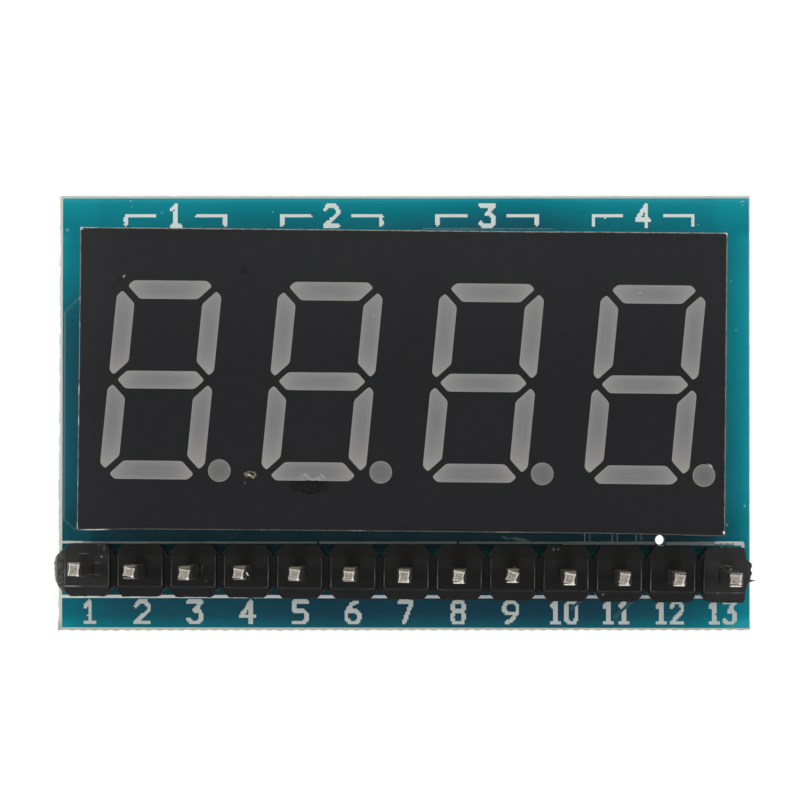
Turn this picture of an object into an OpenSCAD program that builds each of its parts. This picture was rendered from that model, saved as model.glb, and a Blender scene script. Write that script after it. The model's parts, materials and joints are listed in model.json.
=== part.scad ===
// Four-digit seven-segment display module: LED display, pin header and driver parts on one printed board.
// Frame: the origin lies under the middle of the board's outline, where the soldered pin ends stand.
// +X runs along the header, +Y from the header towards the display, +Z out of the display's face.

/* [Board] */
// How far the coated face runs past each end of the header's row
row_margin = 0.07; // [0:0.01:2]
// Width of the coated face across the header
mask_w = 20.74; // [20.6:0.02:24]
// Thickness of the board with its coatings
board_t = 1.6; // [0.8:0.1:2.4]
// Thickness of each coating and of the copper pads that lie in it
mask_t = 0.03; // [0.02:0.01:0.06]
// Depth of the V-shaped scores along which the board was snapped from its panel
score_depth = 0.45; // [0.2:0.05:0.6]
// Lean of each score wall from upright
score_angle = 15; // [10:1:22]
// Snapped web left standing on the left edge
web_left = 0.19; // [0:0.01:0.4]
// Snapped web left standing on the right edge
web_right = 0.05; // [0:0.01:0.4]
// Snapped web left standing on the display edge
web_top = 0.06; // [0:0.01:0.4]
// Snapped web left standing on the header edge
web_bottom = 0.1; // [0:0.01:0.4]
// Turn of the drilled pattern, and of all that is soldered in it, against the board's outline
pattern_turn = -0.55; // [-1:0.05:1]
// Diameter of the open through hole
via_d = 0.48; // [0.3:0.02:0.6]
// Place of the open through hole along the header
via_x = 12.34; // [10:0.02:15]
// Place of the open through hole, below the board's middle
via_down = 6.01; // [5.9:0.01:6.1]

/* [Pin ends] */
// How far the soldered pin ends stand below the board
tail_h = 1.4; // [1.3:0.05:2]
// Diameter of the pads round the header's holes
header_pad_d = 1.7; // [1.4:0.05:2]
// Diameter of the header's holes
header_hole_d = 1; // [0.95:0.05:1.2]
// Diameter of the pads round the display's holes
display_pad_d = 1.45; // [1.2:0.05:1.8]
// Diameter of the display's holes
display_hole_d = 0.8; // [0.7:0.05:1]
// Height of each solder cone
solder_h = 0.85; // [0.6:0.05:1]
// Rim of bare pad left round each solder cone
solder_rim = 0.05; // [0:0.01:0.15]
// Thickness of the solder's skin where it ends on a pin
solder_skin = 0.03; // [0.01:0.01:0.1]

/* [Header] */
// Number of header pins
pin_count = 13; // [2:1:13]
// Distance from one pin to the next, on the header and on the display
pitch = 2.54; // [2.54]
// Middle of the header along the board
header_x = 0.14; // [0:0.02:0.2]
// Middle of the header, below the board's middle
header_down = 7.7; // [7.6:0.02:7.8]
// Width of each square header pin
pin_w = 0.64; // [0.6:0.01:0.66]
// Length of pin above the insulator
pin_rise = 6; // [4:0.1:12]
// Width of the flat that coining leaves on each pin end
tip_w = 0.48; // [0.36:0.02:0.56]
// Length of the coined bevel at each pin end
tip_l = 0.12; // [0.05:0.01:0.4]
// Height of the insulator
block_h = 2.54; // [1.5:0.02:3]
// Depth of the insulator across the row
block_w = 2.5; // [2.4:0.02:2.56]
// Width of the groove across the top between one block and the next
groove_w = 0.4; // [0.3:0.02:0.6]
// Depth of that groove
groove_drop = 0.8; // [0.4:0.05:1.4]
// Cut of each upright corner along the row
corner_x = 0.44; // [0.3:0.02:0.5]
// Depth of the flat crown of each block, and of the web that joins the blocks
crown_w = 1.48; // [1.2:0.02:2]
// Drop of the slope on each long side of the crown
crown_drop = 0.22; // [0.1:0.02:0.6]
// Snapped stub of web on the left end of the row
stub_left = 0.2; // [0:0.02:0.3]
// Snapped stub of web on the right end of the row
stub_right = 0.08; // [0:0.02:0.3]
// How much narrower a snapped stub is than the web, on each side
stub_inset = 0.08; // [0:0.02:0.2]

/* [Display body] */
// Length of the display
display_l = 30.1; // [29.8:0.05:31]
// Width of the display
display_w = 14; // [13.6:0.05:14.4]
// Height of the display
display_h = 7.2; // [5:0.1:9]
// Middle of the display, left of the board's middle
display_left = 0.09; // [0:0.01:0.3]
// Middle of the display, above the board's middle
display_up = 1.33; // [1.2:0.01:1.6]
// Radius of the display's upright corners
display_r = 0.12; // [0.1:0.02:0.6]
// Distance between the two rows of display pins
row_gap = 10.16; // [10.16]
// Pins in each row of the display
row_count = 6; // [2:1:6]
// Diameter of the display's pins
lead_d = 0.5; // [0.4:0.05:0.55]
// Thickness of the black film on the face
film_t = 0.1; // [0.05:0.01:0.2]
// Edge of the housing left bare round the film
film_rim = 0.05; // [0.02:0.01:0.2]
// Thickness of the housing's outer walls
shell_t = 0.9; // [0.6:0.05:1.2]
// Thickness of the display's own chip board
chip_board_t = 0.8; // [0.6:0.1:1.2]
// Thickness of the resin that seals the back
seal_t = 0.8; // [0.4:0.1:1.2]
// Recess of the sealing resin in the back of the housing
seal_recess = 0.2; // [0.1:0.05:0.4]
// Clearance round the chip board and the seal
chip_board_gap = 0.05; // [0.02:0.01:0.1]

/* [Digits] */
// Number of digits
digit_count = 4; // [1:1:4]
// Distance from one digit to the next
digit_pitch = 7.53; // [7.3:0.01:7.6]
// Middle of the digits, right of the display's middle
digits_right = 0.03; // [0:0.01:0.1]
// Middle of the digits, below the display's middle
digits_down = 0.06; // [0:0.01:0.1]
// Height of a digit over its bars
digit_h = 9.28; // [8.8:0.02:9.6]
// Width of a digit over its bars, measured square
digit_w = 4.89; // [4.6:0.01:5]
// Thickness of a bar
bar_t = 0.86; // [0.7:0.01:1]
// Thickness of the middle bar
middle_t = 0.83; // [0.7:0.01:1]
// Gap between the mitred ends of a level and an upright bar
bar_gap = 0.32; // [0.25:0.01:0.45]
// Gap between the middle bar and the mitred ends of the upright bars
middle_gap = 0.29; // [0.25:0.01:0.45]
// Gap between the tips of an upper and a lower upright bar
waist_gap = 0.44; // [0.4:0.02:0.8]
// Cut of the bars' outer corners at the corners of the digit
corner_cut = 0.25; // [0.18:0.01:0.35]
// Cut of the upright bars' outer corners at the waist of the digit
foot_cut = 0.22; // [0.18:0.01:0.3]
// Reach of the rounding at each corner of a bar
bar_round = 0.12; // [0.02:0.01:0.12]
// Lean of the digits to the right
slant = 5; // [0:0.1:10]
// Diameter of the decimal point
dot_d = 1.05; // [0.9:0.01:1.1]
// Place of the decimal point from the digit's middle, measured square
dot_x = 3.15; // [3.1:0.01:3.2]
// Length of a light well at its floor
well_l = 1.4; // [1:0.1:2]
// Width of a light well at its floor
well_w = 0.66; // [0.5:0.02:0.7]
// Depth of the straight lip at the mouth of a light well
lip_h = 0.9; // [0.4:0.1:1.5]
// Width of a light-emitting die
die_w = 0.3; // [0.2:0.02:0.4]
// Thickness of a light-emitting die
die_t = 0.15; // [0.1:0.01:0.2]

/* [Driver parts] */
// Distance from one transistor to the next
driver_pitch = 6.8; // [5:0.1:7.2]
// Row of the transistors across the board
driver_y = 3.9; // [3.7:0.05:4]
// Length of a transistor's body
driver_l = 2.9; // [2.6:0.05:3.1]
// Width of a transistor's body
driver_w = 1.3; // [1.2:0.05:1.4]
// Height of a transistor's body above the board
driver_h = 1.05; // [0.9:0.05:1.15]
// Gap between the board and a transistor's body
driver_lift = 0.05; // [0.02:0.01:0.1]
// Draft of a transistor's body, from its parting line to each face
driver_draft = 0.1; // [0.02:0.01:0.15]
// Width over a transistor's leads
driver_span = 2.4; // [2.2:0.05:2.6]
// Distance from one lead to the next on the same side
lead_pitch = 1.9; // [1.7:0.05:2]
// Width of a transistor's lead
lead_w = 0.4; // [0.3:0.02:0.48]
// Thickness of a transistor's lead
lead_t = 0.12; // [0.08:0.01:0.15]
// Length of a lead's foot
foot_l = 0.32; // [0.2:0.02:0.36]
// Length of a chip resistor
chip_l = 1.6; // [1.5:0.05:1.7]
// Width of a chip resistor
chip_w = 0.8; // [0.7:0.05:0.9]
// Thickness of a chip resistor
chip_t = 0.45; // [0.35:0.05:0.6]
// Length of a chip resistor's metal caps
cap_l = 0.3; // [0.2:0.02:0.4]
// Thickness of the metal on the caps
cap_t = 0.04; // [0.02:0.01:0.06]
// Row of the resistors that feed the transistors
base_row_y = 1.1; // [0.9:0.05:1.3]
// Row of the resistors that feed the segments
segment_row_y = -1.25; // [-1.3:0.05:-1.2]
// Distance from one segment resistor to the next
segment_pitch = 3.3; // [2.4:0.1:3.6]
// Number of segment resistors
segment_count = 8; // [1:1:8]
// Reach of the solder at a chip's end or a lead's toe
fillet_l = 0.25; // [0.1:0.01:0.3]

/* [Hidden] */
PIN_NAMES = [for (i = [1:pin_count]) str("header_pin_", i)];
LEAD_NAMES = [for (i = [1:2 * row_count]) str("display_pin_", i)];
DIGIT_NAMES = [for (i = [1:digit_count]) str("digit_", i)];
DRIVER_NAMES = [for (i = [1:digit_count]) str("transistor_", i)];
BASE_NAMES = [for (i = [1:digit_count]) str("base_resistor_", i)];
SEGMENT_NAMES = [for (i = [1:segment_count]) str("segment_resistor_", i)];

$fn = 32;
over = 1;                                   // how far a cutter runs past what it cuts

board_top = tail_h + board_t;
row_l = pin_count * pitch;
mask_l = row_l + 2 * row_margin;
score_w = score_depth * tan(score_angle);
mask_x = (web_left - web_right) / 2;        // middle of the coated face
mask_y = (web_bottom - web_top) / 2;

header_y = -header_down;
insulator_top = board_top + block_h;
corner_y = (block_w - crown_w) / 2;
groove_low = insulator_top - groove_drop;
pin_top = insulator_top + pin_rise;

display_x = -display_left;
display_y = display_up;
digit_y = display_y - digits_down;
back_depth = seal_recess + seal_t + chip_board_t;
well_floor = board_top + back_depth;
face_z = board_top + display_h;
lip_z = face_z - lip_h;
cavity_l = display_l - 2 * shell_t;
cavity_w = display_w - 2 * shell_t;

half_w = digit_w / 2;
half_h = digit_h / 2;
mid_x = half_w - bar_t / 2;
mid_y = half_h - bar_t / 2;
mitre = bar_gap / sqrt(2);

chip_pad_l = cap_l + fillet_l;
foot_pad_l = foot_l + fillet_l;
span_half = driver_span / 2;

// Corner points of a closed outline, each eased by a short curve
function eased(points, reach) = [
    for (i = [0:len(points) - 1])
        let (before = points[(i + len(points) - 1) % len(points)], here = points[i],
             after = points[(i + 1) % len(points)],
             from = here + (before - here) / norm(before - here) * reach,
             to = here + (after - here) / norm(after - here) * reach)
            for (t = [0:1/3:1]) (1 - t) * (1 - t) * from + 2 * t * (1 - t) * here + t * t * to];

function leaned(points) = [for (p = points) [p.x + p.y * tan(slant), p.y]];
function flipped_x(points) = [for (i = [len(points) - 1:-1:0]) [-points[i].x, points[i].y]];
function flipped_y(points) = [for (i = [len(points) - 1:-1:0]) [points[i].x, -points[i].y]];

// Upper level bar, right of the middle, then both halves
end_x = half_h - corner_cut + mid_x - mid_y - mitre;
level_half = [
    [half_h - bar_t + mid_x - mid_y - mitre, half_h - bar_t],
    [end_x, half_h - corner_cut],
    [end_x - corner_cut, half_h]];
level_bar = concat(level_half, flipped_x(level_half));

// Upper right upright bar
foot_y = waist_gap / 2;
head_y = half_w - corner_cut - mid_x + mid_y - mitre;
upright_bar = [
    [half_w - bar_t, foot_y + bar_t - foot_cut],
    [half_w - foot_cut, foot_y],
    [half_w, foot_y + foot_cut],
    [half_w, head_y - corner_cut],
    [half_w - corner_cut, head_y],
    [half_w - bar_t, head_y - bar_t + corner_cut]];

// Middle bar, pointed at both ends
point_x = half_w - foot_cut + foot_y - middle_gap * sqrt(2);
shoulder_x = point_x - middle_t / 2;
middle_bar = [
    [point_x, 0], [shoulder_x, middle_t / 2], [-shoulder_x, middle_t / 2],
    [-point_x, 0], [-shoulder_x, -middle_t / 2], [shoulder_x, -middle_t / 2]];

// Every bar of a digit: its outline, the middle of its well and the way that it runs
upright = 90 - slant;
BARS = [
    [level_bar, [0, mid_y], 0],
    [upright_bar, [mid_x, mid_y / 2], upright],
    [flipped_y(upright_bar), [mid_x, -mid_y / 2], upright],
    [flipped_y(level_bar), [0, -mid_y], 0],
    [flipped_y(flipped_x(upright_bar)), [-mid_x, -mid_y / 2], upright],
    [flipped_x(upright_bar), [-mid_x, mid_y / 2], upright],
    [middle_bar, [0, 0], 0]];
dot_place = leaned([[dot_x, -mid_y]])[0];

function pin_x(i) = header_x + (i - (pin_count - 1) / 2) * pitch;
function digit_x(i) = display_x + digits_right + (i - (digit_count - 1) / 2) * digit_pitch;
function driver_x(i) = (i - (digit_count - 1) / 2) * driver_pitch;
function segment_x(i) = (i - (segment_count - 1) / 2) * segment_pitch;

HEADER_SPOTS = [for (i = [0:pin_count - 1]) [pin_x(i), header_y]];
LEAD_SPOTS = [for (side = [-1, 1]) for (i = [0:row_count - 1])
    [display_x + (i - (row_count - 1) / 2) * pitch, display_y + side * row_gap / 2]];

// Places and turns of the chip resistors: those that feed the transistors lie along X, the rest along Y
BASE_CHIPS = [for (i = [0:digit_count - 1]) [[driver_x(i), base_row_y], 0]];
SEGMENT_CHIPS = [for (i = [0:segment_count - 1]) [[segment_x(i), segment_row_y], 90]];
CHIPS = concat(BASE_CHIPS, SEGMENT_CHIPS);

// Places of a transistor's leads: along the body, and the side that each leaves by
LEADS = [[-lead_pitch / 2, -1], [lead_pitch / 2, -1], [0, 1]];

// Everything that is drilled, etched or soldered turns with the pattern
module in_pattern() {
    translate([mask_x, mask_y, 0]) rotate([0, 0, pattern_turn]) children();
}

// A block standing on z, centred in plan
module slab(l, w, z, h) {
    translate([-l / 2, -w / 2, z]) cube([l, w, h]);
}

// ---- Board ----

module drill(extra_header, extra_display) {
    in_pattern() {
        for (p = HEADER_SPOTS) translate([p.x, p.y, tail_h - over])
            cylinder(d = header_hole_d + extra_header, h = board_t + 2 * over);
        for (p = LEAD_SPOTS) translate([p.x, p.y, tail_h - over])
            cylinder(d = display_hole_d + extra_display, h = board_t + 2 * over);
        translate([via_x, -via_down, tail_h - over]) cylinder(d = via_d, h = board_t + 2 * over);
    }
}

// Wedge that takes a snapped edge back to its score, for the edge that faces +X at distance edge
module score_cut(edge, web, run) {
    depth = mask_t + score_depth;
    far = edge + score_w + web + over;
    rotate([90, 0, 0]) linear_extrude(height = run, center = true)
        polygon([[edge, 0], [edge, over], [far, over], [far, -depth], [edge + score_w, -depth]]);
}

module score_cuts(run) {
    rim = [[0, mask_l / 2, web_right], [180, mask_l / 2, web_left],
           [90, mask_w / 2, web_top], [270, mask_w / 2, web_bottom]];
    for (r = rim) rotate([0, 0, r[0]]) score_cut(r[1], r[2], run);
}

module circuit_board() {
    core_low = tail_h + mask_t;
    core_t = board_t - 2 * mask_t;
    l = mask_l + 2 * score_w + web_left + web_right;
    w = mask_w + 2 * score_w + web_top + web_bottom;
    color("#D8DECB") difference() {
        slab(l, w, core_low, core_t);
        translate([mask_x, mask_y, 0]) {
            translate([0, 0, core_low + core_t]) score_cuts(2 * l);
            translate([0, 0, core_low]) mirror([0, 0, 1]) score_cuts(2 * l);
        }
        drill(0, 0);
    }
}

module coating(z) {
    translate([mask_x, mask_y, 0]) slab(mask_l, mask_w, z, mask_t);
}

module front_coating() {
    color("#15808F") difference() {
        coating(board_top - mask_t);
        drill(header_pad_d - header_hole_d, display_pad_d - display_hole_d);
    }
}

module rear_coating() {
    color("#147684") difference() {
        coating(tail_h);
        drill(header_pad_d - header_hole_d, display_pad_d - display_hole_d);
        surface_pads(over);
    }
}

// Copper under the chips and the transistor feet
module surface_pads(extra) {
    in_pattern() translate([0, 0, tail_h - extra]) {
        for (c = CHIPS) translate(c[0]) rotate([0, 0, c[1]]) for (end = [-1, 1])
            translate([end * (chip_l / 2 - cap_l + chip_pad_l / 2), 0, 0])
                slab(chip_pad_l, chip_w, 0, mask_t + extra);
        for (i = [0:digit_count - 1]) for (lead = LEADS)
            translate([driver_x(i) + lead[0], driver_y + lead[1] * (span_half - foot_l + foot_pad_l / 2), 0])
                slab(lead_w, foot_pad_l, 0, mask_t + extra);
    }
}

module ring(outer, inner, z) {
    translate([0, 0, z]) difference() {
        cylinder(d = outer, h = mask_t);
        translate([0, 0, -over]) cylinder(d = inner, h = mask_t + 2 * over);
    }
}

module pads() {
    color("#C8B98C") {
        in_pattern() for (z = [tail_h, board_top - mask_t]) {
            for (p = HEADER_SPOTS) translate(p) ring(header_pad_d, header_hole_d, z);
            for (p = LEAD_SPOTS) translate(p) ring(display_pad_d, display_hole_d, z);
        }
        surface_pads(0);
    }
}

// ---- Header ----

// Upright prism on a block's plan, as long as the pitch and cut back at the corners
module block_plan() {
    l = pitch / 2;
    w = block_w / 2;
    translate([0, 0, board_top]) linear_extrude(height = block_h)
        polygon([[l - corner_x, -w], [l, corner_y - w], [l, w - corner_y], [l - corner_x, w],
                 [corner_x - l, w], [-l, w - corner_y], [-l, corner_y - w], [corner_x - l, -w]]);
}

// Prism along the row on a block's section, sloping down from the crown to both sides
module block_section() {
    w = block_w / 2;
    rotate([90, 0, 90]) linear_extrude(height = pitch, center = true)
        polygon([[-w, board_top], [w, board_top], [w, insulator_top - crown_drop],
                 [crown_w / 2, insulator_top], [-crown_w / 2, insulator_top],
                 [-w, insulator_top - crown_drop]]);
}

// Snapped end of the web, standing out by reach from an end of the row
module stub(reach) {
    w = crown_w - 2 * stub_inset;
    translate([row_l / 2 - corner_x, -w / 2, board_top]) cube([corner_x + reach, w, block_h - groove_drop]);
}

module header_insulator() {
    color("#1B1B1B") in_pattern() difference() {
        translate([header_x, header_y, 0]) {
            for (i = [0:pin_count - 1]) translate([pin_x(i) - header_x, 0, 0]) intersection() {
                block_plan();
                block_section();
            }
            stub(stub_right);
            mirror([1, 0, 0]) stub(stub_left);
        }
        for (i = [0:pin_count]) translate([pin_x(i) - pitch / 2, header_y, 0])
            slab(groove_w, block_w + 2 * over, groove_low, groove_drop + over);
        for (p = HEADER_SPOTS) translate(p) slab(pin_w, pin_w, board_top - over, block_h + 2 * over);
    }
}

// Square pin with both ends coined, as two crossed profiles
module header_pin(i) {
    flat = tip_w / 2;
    side = pin_w / 2;
    profile = [[-flat, 0], [flat, 0], [side, tip_l], [side, pin_top - tip_l], [flat, pin_top],
               [-flat, pin_top], [-side, pin_top - tip_l], [-side, tip_l]];
    color("#B8AC9C") in_pattern() translate(HEADER_SPOTS[i]) intersection() {
        rotate([90, 0, 0]) linear_extrude(height = pin_w, center = true) polygon(profile);
        rotate([90, 0, 90]) linear_extrude(height = pin_w, center = true) polygon(profile);
    }
}

// Solder that fills a hole and rises round the pin below the board
module solder_joint(hole, pad, pin) {
    mouth = pad - 2 * solder_rim;
    neck = pin + 2 * solder_skin;
    slope = (mouth - neck) / 2;
    rotate_extrude() polygon([
        [0, board_top], [hole / 2, board_top], [hole / 2, tail_h], [mouth / 2, tail_h],
        [neck / 2 + slope * 0.4, tail_h - solder_h * 0.35], [neck / 2, tail_h - solder_h],
        [0, tail_h - solder_h]]);
}

module header_solder() {
    color("#C3C6C9") in_pattern() for (p = HEADER_SPOTS) translate(p) difference() {
        solder_joint(header_hole_d, header_pad_d, pin_w * sqrt(2));
        slab(pin_w, pin_w, -over, board_top + 2 * over);
    }
}

// ---- Display ----

// Block with rounded upright corners
module rounded_slab(l, w, r, z, h) {
    slab(l - 2 * r, w, z, h);
    slab(l, w - 2 * r, z, h);
    for (sx = [-1, 1]) for (sy = [-1, 1])
        translate([sx * (l / 2 - r), sy * (w / 2 - r), z]) cylinder(r = r, h = h);
}

// Upright profile that widens from the well's floor to its lip, run along the other way
module flare(floor_half, lip_half, run) {
    top = face_z + over;
    rotate([90, 0, 0]) linear_extrude(height = run, center = true)
        polygon([[-floor_half, well_floor], [floor_half, well_floor], [lip_half, lip_z],
                 [lip_half, top], [-lip_half, top], [-lip_half, lip_z]]);
}

// Light well of one bar: the bar's own outline at the lip, tapering to the pocket of its die
module bar_well(bar) {
    intersection() {
        translate([0, 0, well_floor]) linear_extrude(height = face_z - well_floor)
            polygon(eased(leaned(bar[0]), bar_round));
        translate(leaned([bar[1]])[0]) rotate([0, 0, bar[2]]) {
            intersection() {
                flare(well_l / 2, half_h, 2 * bar_t);
                rotate([0, 0, 90]) flare(well_w / 2, bar_t, digit_h);
            }
        }
    }
}

module dot_well() {
    translate([dot_place.x, dot_place.y, well_floor]) {
        cylinder(d1 = well_w, d2 = dot_d, h = lip_z - well_floor);
        translate([0, 0, lip_z - well_floor]) cylinder(d = dot_d, h = lip_h);
    }
}

module digit_wells(i) {
    in_pattern() translate([digit_x(i), digit_y, 0]) {
        for (bar = BARS) bar_well(bar);
        dot_well();
    }
}

module dies(i) {
    places = concat([for (bar = BARS) leaned([bar[1]])[0]], [dot_place]);
    in_pattern() translate([digit_x(i), digit_y, 0])
        for (p = places) translate(p) slab(die_w, die_w, well_floor, die_t);
}

module display_housing() {
    color("#E6E4DD") difference() {
        in_pattern() translate([display_x, display_y, 0]) difference() {
            rounded_slab(display_l, display_w, display_r, board_top, display_h - film_t);
            slab(cavity_l, cavity_w, board_top - over, back_depth + over);
        }
        for (i = [0:digit_count - 1]) digit_wells(i);
    }
}

module display_film() {
    color("#262626") difference() {
        in_pattern() translate([display_x, display_y, 0])
            rounded_slab(display_l - 2 * film_rim, display_w - 2 * film_rim, display_r,
                         face_z - film_t, film_t);
        for (i = [0:digit_count - 1]) digit_wells(i);
    }
}

// Milky resin cast in one digit's wells over the dies
module digit(i) {
    color("#969692") difference() {
        digit_wells(i);
        dies(i);
    }
}

module light_dies() {
    color("#D9C68A") for (i = [0:digit_count - 1]) dies(i);
}

// A layer in the back of the housing with a hole for each pin
module back_layer(z, h) {
    in_pattern() difference() {
        translate([display_x, display_y, 0])
            slab(cavity_l - 2 * chip_board_gap, cavity_w - 2 * chip_board_gap, z, h);
        for (p = LEAD_SPOTS) translate([p.x, p.y, z - over]) cylinder(d = lead_d, h = h + 2 * over);
    }
}

module chip_board() {
    color("#C9B878") back_layer(well_floor - chip_board_t, chip_board_t);
}

module back_seal() {
    color("#D6D2C4") back_layer(board_top + seal_recess, seal_t);
}

module display_pin(i) {
    color("#B9BBBD") in_pattern() translate(LEAD_SPOTS[i]) cylinder(d = lead_d, h = well_floor);
}

module display_solder() {
    color("#C3C6C9") in_pattern() for (p = LEAD_SPOTS) translate(p) difference() {
        solder_joint(display_hole_d, display_pad_d, lead_d);
        translate([0, 0, -over]) cylinder(d = lead_d, h = board_top + 2 * over);
    }
}

// ---- Driver parts on the back ----

// Moulded body of a transistor, drafted from its parting line to both faces
module driver(i) {
    low = tail_h - driver_h;
    high = tail_h - driver_lift;
    mid = (low + high) / 2;
    color("#202022") in_pattern() translate([driver_x(i), driver_y, 0]) intersection() {
        rotate([90, 0, 0]) linear_extrude(height = driver_w, center = true)
            drafted(driver_l / 2, low, mid, high);
        rotate([90, 0, 90]) linear_extrude(height = driver_l, center = true)
            drafted(driver_w / 2, low, mid, high);
    }
}

module drafted(half, low, mid, high) {
    flat = half - driver_draft;
    polygon([[-flat, low], [flat, low], [half, mid], [flat, high], [-flat, high], [-half, mid]]);
}

// Gull-wing lead, from the body's parting line down to its foot on the board
module gull_lead() {
    mid = tail_h - (driver_h + driver_lift) / 2;
    knee = driver_w / 2 + lead_t;
    toe = span_half - foot_l;
    rotate([90, 0, 90]) linear_extrude(height = lead_w, center = true)
        polygon([[driver_w / 2, mid - lead_t / 2], [knee + lead_t, mid - lead_t / 2],
                 [toe + lead_t, tail_h - lead_t], [span_half, tail_h - lead_t], [span_half, tail_h],
                 [toe, tail_h], [knee, mid + lead_t / 2], [driver_w / 2, mid + lead_t / 2]]);
}

module transistor_leads() {
    color("#BFC1C4") in_pattern() for (i = [0:digit_count - 1]) for (lead = LEADS)
        translate([driver_x(i) + lead[0], driver_y, 0]) rotate([0, 0, 90 - 90 * lead[1]]) gull_lead();
}

// Ceramic of a chip resistor between its caps
module chip(place) {
    color("#E4E2DC") in_pattern() translate(place[0]) rotate([0, 0, place[1]])
        slab(chip_l - 2 * cap_t, chip_w - 2 * cap_t, tail_h - chip_t + cap_t, chip_t - 2 * cap_t);
}

module resistor_caps() {
    color("#C6C8CA") in_pattern() for (c = CHIPS) translate(c[0]) rotate([0, 0, c[1]])
        difference() {
            for (end = [-1, 1]) translate([end * (chip_l - cap_l) / 2, 0, 0])
                slab(cap_l, chip_w, tail_h - chip_t, chip_t);
            slab(chip_l - 2 * cap_t, chip_w - 2 * cap_t, tail_h - chip_t + cap_t, chip_t - 2 * cap_t);
        }
}

// Wedge of solder that leans on an upright face at x = 0 and runs out to reach
module fillet(reach, rise, w) {
    rotate([90, 0, 0]) linear_extrude(height = w, center = true)
        polygon([[0, tail_h], [reach, tail_h], [reach * 0.35, tail_h - rise * 0.4], [0, tail_h - rise]]);
}

module chip_solder() {
    color("#C3C6C9") in_pattern() {
        for (c = CHIPS) translate(c[0]) rotate([0, 0, c[1]]) for (end = [0, 180])
            rotate([0, 0, end]) translate([chip_l / 2, 0, 0]) fillet(fillet_l, chip_t * 0.8, chip_w);
        for (i = [0:digit_count - 1]) for (lead = LEADS)
            translate([driver_x(i) + lead[0], driver_y + lead[1] * span_half, 0])
                rotate([0, 0, 90 * lead[1]]) fillet(fillet_l, lead_t, lead_w);
    }
}

circuit_board();
front_coating();
rear_coating();
pads();
header_insulator();
for (i = [0:pin_count - 1]) header_pin(i);
header_solder();
display_housing();
display_film();
for (i = [0:digit_count - 1]) digit(i);
chip_board();
light_dies();
back_seal();
for (i = [0:2 * row_count - 1]) display_pin(i);
display_solder();
for (i = [0:digit_count - 1]) driver(i);
transistor_leads();
for (i = [0:digit_count - 1]) chip(BASE_CHIPS[i]);
for (i = [0:segment_count - 1]) chip(SEGMENT_CHIPS[i]);
resistor_caps();
chip_solder();
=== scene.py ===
import json
import math
import random

import bmesh
import bpy
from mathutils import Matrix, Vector, noise


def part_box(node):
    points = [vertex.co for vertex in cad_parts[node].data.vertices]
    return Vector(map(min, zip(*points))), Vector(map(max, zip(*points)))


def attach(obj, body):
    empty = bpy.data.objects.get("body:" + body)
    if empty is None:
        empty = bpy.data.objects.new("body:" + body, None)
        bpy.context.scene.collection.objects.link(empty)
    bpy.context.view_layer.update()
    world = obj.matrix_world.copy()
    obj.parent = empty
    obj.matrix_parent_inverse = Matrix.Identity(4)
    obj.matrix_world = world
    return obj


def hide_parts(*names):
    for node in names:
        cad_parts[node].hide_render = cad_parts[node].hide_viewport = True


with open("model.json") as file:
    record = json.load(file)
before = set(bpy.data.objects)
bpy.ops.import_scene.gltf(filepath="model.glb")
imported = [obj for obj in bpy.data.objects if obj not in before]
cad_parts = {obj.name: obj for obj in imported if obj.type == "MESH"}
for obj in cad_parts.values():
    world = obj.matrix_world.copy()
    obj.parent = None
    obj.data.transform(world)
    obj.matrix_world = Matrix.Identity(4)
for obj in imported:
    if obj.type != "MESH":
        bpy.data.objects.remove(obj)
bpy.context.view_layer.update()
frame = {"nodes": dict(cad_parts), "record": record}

scene = bpy.context.scene
mm = 0.001                                   # one millimetre in metres
nodes = frame["nodes"]
print("frame loaded,", len(nodes), "nodes")


# Places read from the frame, all in metres
def corners(node):
    low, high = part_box(node)
    return Vector(low), Vector(high)


def middle(node):
    low, high = corners(node)
    return (low + high) / 2


boardTop = corners("front_coating")[1].z
boardMid = middle("front_coating")
halfLong = (corners("front_coating")[1].x - boardMid.x) / mm
halfWide = (corners("front_coating")[1].y - boardMid.y) / mm
insulatorTop = corners("header_insulator")[1].z
pinTop = corners("header_pin_1")[1].z
faceTop = corners("display_film")[1].z
faceMid = middle("display_film")
pinNames = sorted((n for n in nodes if n.startswith("header_pin_")), key=lambda n: int(n.split("_")[-1]))
digitNames = sorted(n for n in nodes if n.startswith("digit_"))
rowStart = middle(pinNames[0])
rowStep = (middle(pinNames[-1]) - rowStart) / (len(pinNames) - 1)
rowTurn = math.atan2(rowStep.y, rowStep.x)   # turn of the drilled pattern against the board's outline
pitch = rowStep.length / mm
lastPin = (len(pinNames) - 1) * pitch        # place of the last pin along the row


# A place in a plan, swung about the plan's origin
def swung(x, y, turn):
    c, s = math.cos(turn), math.sin(turn)
    return x * c - y * s, x * s + y * c


# A point given in millimetres in a plan with its own middle and turn
def placed(x, y, z=0.0, about=boardMid, turn=0.0):
    x, y = swung(x, y, turn)
    return Vector((about.x + x * mm, about.y + y * mm, z))


# Where a point lies along the header row and across it, in millimetres from the first pin
def alongRow(p):
    return swung((p.x - rowStart.x) / mm, (p.y - rowStart.y) / mm, -rowTurn)


# The point that lies there, at a height in metres
def offRow(along, across, z):
    return placed(along, across, z, rowStart, rowTurn)


# Straight lines from one (position, value) pair to the next
def between(pairs, at):
    for (a, first), (b, second) in zip(pairs, pairs[1:]):
        if at <= b:
            return first + (second - first) * max(0.0, (at - a) / (b - a))
    return pairs[-1][1]


def srgb(r, g, b):
    def line(v):
        v /= 255
        return v / 12.92 if v <= 0.04045 else ((v + 0.055) / 1.055) ** 2.4
    return (line(r), line(g), line(b), 1.0)


def grey(v):
    return srgb(v, v, v)


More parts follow.
